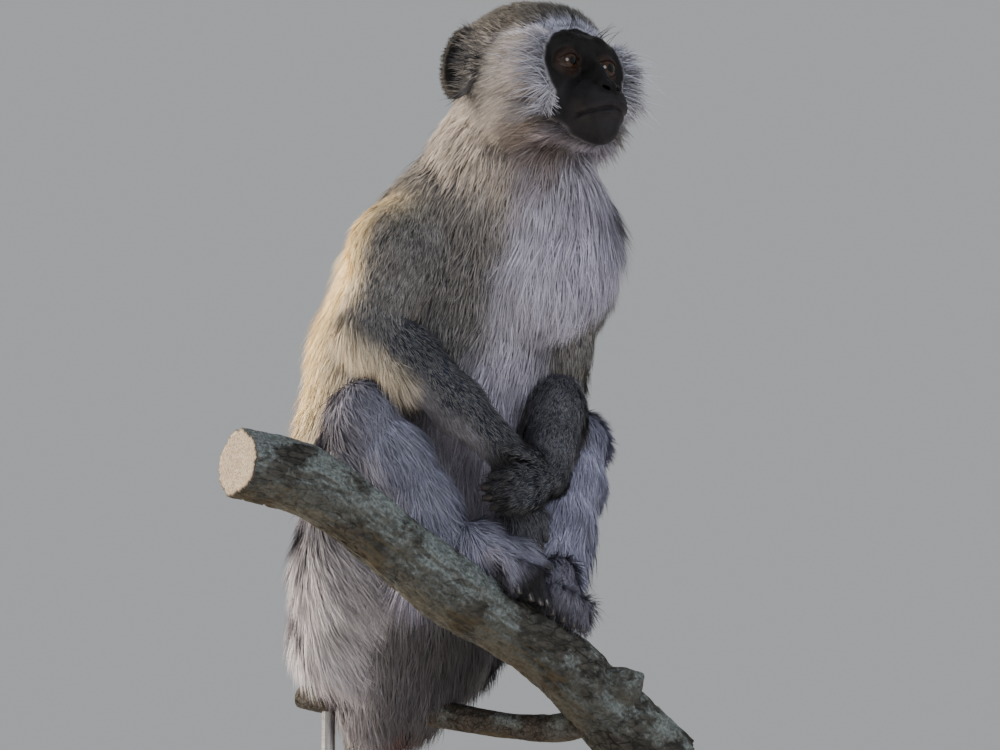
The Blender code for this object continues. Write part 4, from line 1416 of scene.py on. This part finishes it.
def barkTube(name, line, radii, around, knots, ridge, lump, materials, node):
    count = len(line)
    line = np.array(line)
    way = np.gradient(line, axis=0)
    way /= np.linalg.norm(way, axis=1)[:, None]
    side = np.cross(way, vec(0, 0, 1))
    side /= np.linalg.norm(side, axis=1)[:, None]
    up = np.cross(side, way)
    verts = []
    for i in range(count):
        for j in range(around):
            a = j / around * 2 * math.pi
            out = side[i] * math.cos(a) + up[i] * math.sin(a)
            p = line[i] + out * radii[i]
            q = Vector((math.cos(a) * radii[i] / 9, math.sin(a) * radii[i] / 9, i / count * 5))
            verts.append(p + out * barkLift(p, q, knots, ridge, lump))
    outer = np.array(verts)
    faces = []
    for i in range(count - 1):
        for j in range(around):
            k = (j + 1) % around
            faces.append(((i + 1) * around + j, (i + 1) * around + k, i * around + k, i * around + j))
    rings, cutFaces = sawnEnds(outer, way, around)
    obj = addMesh(name, np.concatenate([outer] + rings), faces + cutFaces, materials[0])
    obj.data.materials.append(materials[1])
    obj.data.polygons.foreach_set("material_index", np.repeat([0, 1], [len(faces), len(cutFaces)]).astype(np.int32))
    bm = bmesh.new()
    bm.from_mesh(obj.data)
    bmesh.ops.holes_fill(bm, edges=[e for e in bm.edges if e.is_boundary], sides=0)
    bmesh.ops.recalc_face_normals(bm, faces=bm.faces)
    for face in bm.faces:
        face.smooth = True
    bm.to_mesh(obj.data)
    bm.free()
    cut = np.ones(len(obj.data.vertices))
    ringNumber = np.tile(np.repeat(bark["cutRings"], around), 2)
    cut[len(outer):len(outer) + len(ringNumber)] = ringNumber
    addValue(obj, "ring", cut)
    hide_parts(node)


def lichenGroup():
    # pale crusts in blotches with broken edges
    tree, n, start = newGroup(
        "lichenCrust", [("Scale", "Float", 1.0), ("Cover", "Float", 0.5)],
        [("Mask", "Float"), ("Colour", "Color"), ("Height", "Float")])
    place = n.place(start["Scale"])
    big = n.noise(place, 36.0, 3.0, 0.6)
    small = n.noise(place, 240.0, 4.0, 0.7)
    blotch = n.math("ADD", n.math("MULTIPLY", big, 0.7), n.math("MULTIPLY", small, 0.3))
    edge = n.math("SUBTRACT", 1.0, start["Cover"])
    mask = n.smooth(n.math("SUBTRACT", blotch, n.math("MULTIPLY", edge, 0.95)), -0.02, 0.09)
    grain = n.noise(place, 520.0, 3.0)
    colour = n.mix(n.smooth(grain, 0.3, 0.7), (0.085, 0.10, 0.095), (0.23, 0.26, 0.26))
    height = n.math("MULTIPLY", mask, n.smooth(grain, 0.3, 0.7, 0.5, 1.0))
    n.add("NodeGroupOutput", {"Mask": mask, "Colour": colour, "Height": height})
    return tree


lichenCrust = lichenGroup()


def barkMaterial(name, scale, cover, dark, light):
    material, n, shader = newMaterial(name, {"Specular IOR Level": 0.25})
    place = n.place()
    along = n.add("ShaderNodeMapping", {"Vector": place, "Rotation": (0.0, math.radians(31), math.radians(-4)),
                                        "Scale": (0.35, 1.0, 1.0)}).outputs[0]
    grain = n.noise(along, 260.0 * scale, 5.0, 0.65)
    broad = n.noise(place, 26.0 * scale, 3.0)
    crack = n.math("MAXIMUM", n.smooth(n.edges(along, 170.0 * scale), 0.0, 0.07), n.smooth(broad, 0.42, 0.58))
    colour = n.mix(n.smooth(grain, 0.32, 0.68), dark, light)
    colour = n.mix(n.smooth(broad, 0.4, 0.7, 0.0, 0.4), colour, (0.034, 0.033, 0.025))
    colour = n.mix(n.math("MULTIPLY", n.math("SUBTRACT", 1.0, crack), 0.7), colour, (0.008, 0.007, 0.006))
    under = n.add("ShaderNodeSeparateXYZ", {0: n.add("ShaderNodeNewGeometry").outputs["Normal"]}).outputs[2]
    mossy = n.math("MULTIPLY", n.smooth(under, -0.45, -0.85), n.smooth(broad, 0.38, 0.58))
    colour = n.mix(n.math("MULTIPLY", mossy, 0.4), colour, (0.105, 0.080, 0.040))
    crust = n.group(lichenCrust, {"Scale": scale, "Cover": cover})
    top = n.smooth(under, -0.45, 0.25, 0.25, 1.0)
    mask = n.math("MULTIPLY", crust["Mask"], top)
    colour = n.mix(n.math("MULTIPLY", mask, 0.82), colour, crust["Colour"])
    height = n.math("ADD", n.math("MULTIPLY", grain, 0.8), n.math("MULTIPLY", crack, 0.5))
    height = n.math("ADD", height, n.math("MULTIPLY", crust["Height"], 0.5))
    bump = n.bump(0.8, 0.0012, height)
    link(n, shader, colour=colour, roughness=n.smooth(grain, 0.3, 0.7, 0.78, 0.95), normal=bump)
    return material


def cutMaterial():
    material, n, shader = newMaterial("sawnWood")
    place = n.place()
    ring = n.attribute("ring")
    waver = n.math("MULTIPLY_ADD", n.noise(place, 90.0, 3.0), 0.12, -0.06)
    rings = n.math("FRACT", n.math("MULTIPLY", n.math("ADD", ring, waver), 11.0))
    grain = n.noise(place, 700.0, 3.0)
    colour = n.mix(n.smooth(rings, 0.1, 0.9), (0.20, 0.15, 0.10), (0.31, 0.245, 0.165))
    colour = n.mix(n.smooth(grain, 0.4, 0.7, 0.0, 0.5), colour, (0.15, 0.11, 0.07))
    colour = n.mix(n.smooth(ring, 0.9, 0.97), colour, (0.05, 0.036, 0.025))
    bump = n.bump(0.4, 0.0004, grain)
    link(n, shader, colour=colour, roughness=n.smooth(grain, 0.3, 0.7, 0.6, 0.8), normal=bump)
    return material


def buildPerch():
    xs = np.linspace(-186, 96, 190)
    knots = []
    for x, off, size, height in bark["knots"]:
        way = vec(*off) / np.linalg.norm(off)
        knots.append((branchAt(x) + way * branchRadius(x), size, height))
    sawn = cutMaterial()
    barkTube("bark_branch", [branchAt(x) for x in xs], [branchRadius(x) * 0.96 for x in xs], 112,
             knots, bark["ridge"], bark["lump"], (barkMaterial("darkBark", 1.0, 0.535, (0.014, 0.014, 0.013),
                                                               (0.066, 0.062, 0.055)), sawn), "perch_branch")
    line = np.array(bark["twigLine"], float)
    t = np.linspace(0, len(line) - 1, 150)
    points, radii = [], []
    for value in t:
        i = min(int(value), len(line) - 2)
        f = value - i
        p0, p1, p2, p3 = line[max(i - 1, 0)], line[i], line[i + 1], line[min(i + 2, len(line) - 1)]
        points.append(0.5 * (2 * p1 + (p2 - p0) * f + (2 * p0 - 5 * p1 + 4 * p2 - p3) * f ** 2
                             + (3 * p1 - p0 - 3 * p2 + p3) * f ** 3))
        radii.append(bark["twigRadius"] * (1 + 0.06 * math.sin(2.3 * value)) * (0.96 + 0.035 * value) * 0.97)
    barkTube("bark_twig", points, radii, 44, [], 0.5, 0.6,
             (barkMaterial("twigBark", 1.6, 0.455, (0.022, 0.018, 0.015), (0.085, 0.072, 0.060)), sawn), "perch_twig")


buildPerch()
print("perch done")


def standMaterials():
    wood, n, shader = newMaterial("oiledWood")
    place = n.place()
    along = n.add("ShaderNodeMapping", {"Vector": place, "Scale": (0.09, 1.0, 1.0)}).outputs[0]
    grain = n.noise(along, 120.0, 5.0, 0.6)
    figure = n.noise(along, 24.0, 3.0)
    colour = n.mix(n.smooth(grain, 0.3, 0.7), (0.060, 0.034, 0.020), (0.15, 0.088, 0.050))
    colour = n.mix(n.smooth(figure, 0.35, 0.7, 0.0, 0.55), colour, (0.045, 0.026, 0.016))
    bump = n.bump(0.25, 0.0004, grain)
    link(n, shader, colour=colour, roughness=n.smooth(grain, 0.3, 0.7, 0.36, 0.5), normal=bump)
    steel, n, shader = newMaterial("brushedSteel", {"Metallic": 1.0})
    place = n.place()
    rings = n.add("ShaderNodeMapping", {"Vector": place, "Scale": (0.2, 0.2, 6.0)}).outputs[0]
    brush = n.noise(rings, 500.0, 3.0)
    link(n, shader, colour=n.mix(brush, (0.33, 0.33, 0.34), (0.50, 0.50, 0.51)),
         roughness=n.smooth(brush, 0.3, 0.7, 0.28, 0.42))
    return wood, steel


oiledWood, brushedSteel = standMaterials()
for nodeName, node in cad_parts.items():
    if nodeName.startswith("stand_"):
        node.data.materials.clear()
        node.data.materials.append(oiledWood if nodeName == "stand_base" else brushedSteel)
print("stand done")


view = {"azimuth": -40.0, "elevation": -8.0, "target": (0.0526, -0.017, 0.4273), "distance": 1.85, "lens": 116.55}
studio = {
    "lights": {  # place, watts, colour
        "keyLight": ((-1.35, 1.95, 1.35), 212, (1.0, 0.86, 0.68)),
        "fillLight": ((-0.5, -2.6, 1.2), 34, (0.90, 0.94, 1.0)),
        "rimLight": ((1.5, 1.4, 1.6), 16, (1.0, 0.95, 0.88)),
    },
    "lightSize": 1.2, "aim": (0.04, -0.02, 0.45), "floor": 20, "floorTone": (0.70, 0.74),
    "sky": (0.72, 0.74, 0.76), "skyStrength": 0.55,
}


def placeCamera():
    data = bpy.data.cameras.new("camera")
    data.lens = view["lens"]
    data.sensor_width = 36.0
    camera = bpy.data.objects.new("camera", data)
    az, el = math.radians(view["azimuth"]), math.radians(view["elevation"])
    away = Vector((math.sin(az) * math.cos(el), -math.cos(az) * math.cos(el), math.sin(el)))
    target = Vector(view["target"])
    camera.location = target + away * view["distance"]
    camera.rotation_euler = (target - camera.location).to_track_quat("-Z", "Y").to_euler()
    bpy.context.scene.collection.objects.link(camera)
    bpy.context.scene.camera = camera


def addLight(name, place, power, colour):
    data = bpy.data.lights.new(name, "AREA")
    data.shape = "DISK"
    data.size = studio["lightSize"]
    data.energy = power
    data.color = colour
    light = bpy.data.objects.new(name, data)
    light.location = place
    light.rotation_euler = (Vector(studio["aim"]) - Vector(place)).to_track_quat("-Z", "Y").to_euler()
    bpy.context.scene.collection.objects.link(light)


def addFloor():
    material, n, shader = newMaterial("paleFloor", {"Roughness": 0.8})
    place = n.place()
    tone = n.smooth(n.noise(place, 6.0, 4.0), 0.3, 0.7, *studio["floorTone"])
    link(n, shader, colour=n.grey(tone))
    mesh = bpy.data.meshes.new("floor")
    size = studio["floor"]
    mesh.from_pydata([(-size, -size, 0), (size, -size, 0), (size, size, 0), (-size, size, 0)], [], [(0, 1, 2, 3)])
    mesh.materials.append(material)
    floor = bpy.data.objects.new("floor", mesh)
    bpy.context.scene.collection.objects.link(floor)


placeCamera()
addFloor()
for lightName, settings in studio["lights"].items():
    addLight(lightName, *settings)
world = bpy.data.worlds.new("studio")
world.use_nodes = True
background = world.node_tree.nodes["Background"]
background.inputs["Color"].default_value = (*studio["sky"], 1)
background.inputs["Strength"].default_value = studio["skyStrength"]
bpy.context.scene.world = world
print("studio done")
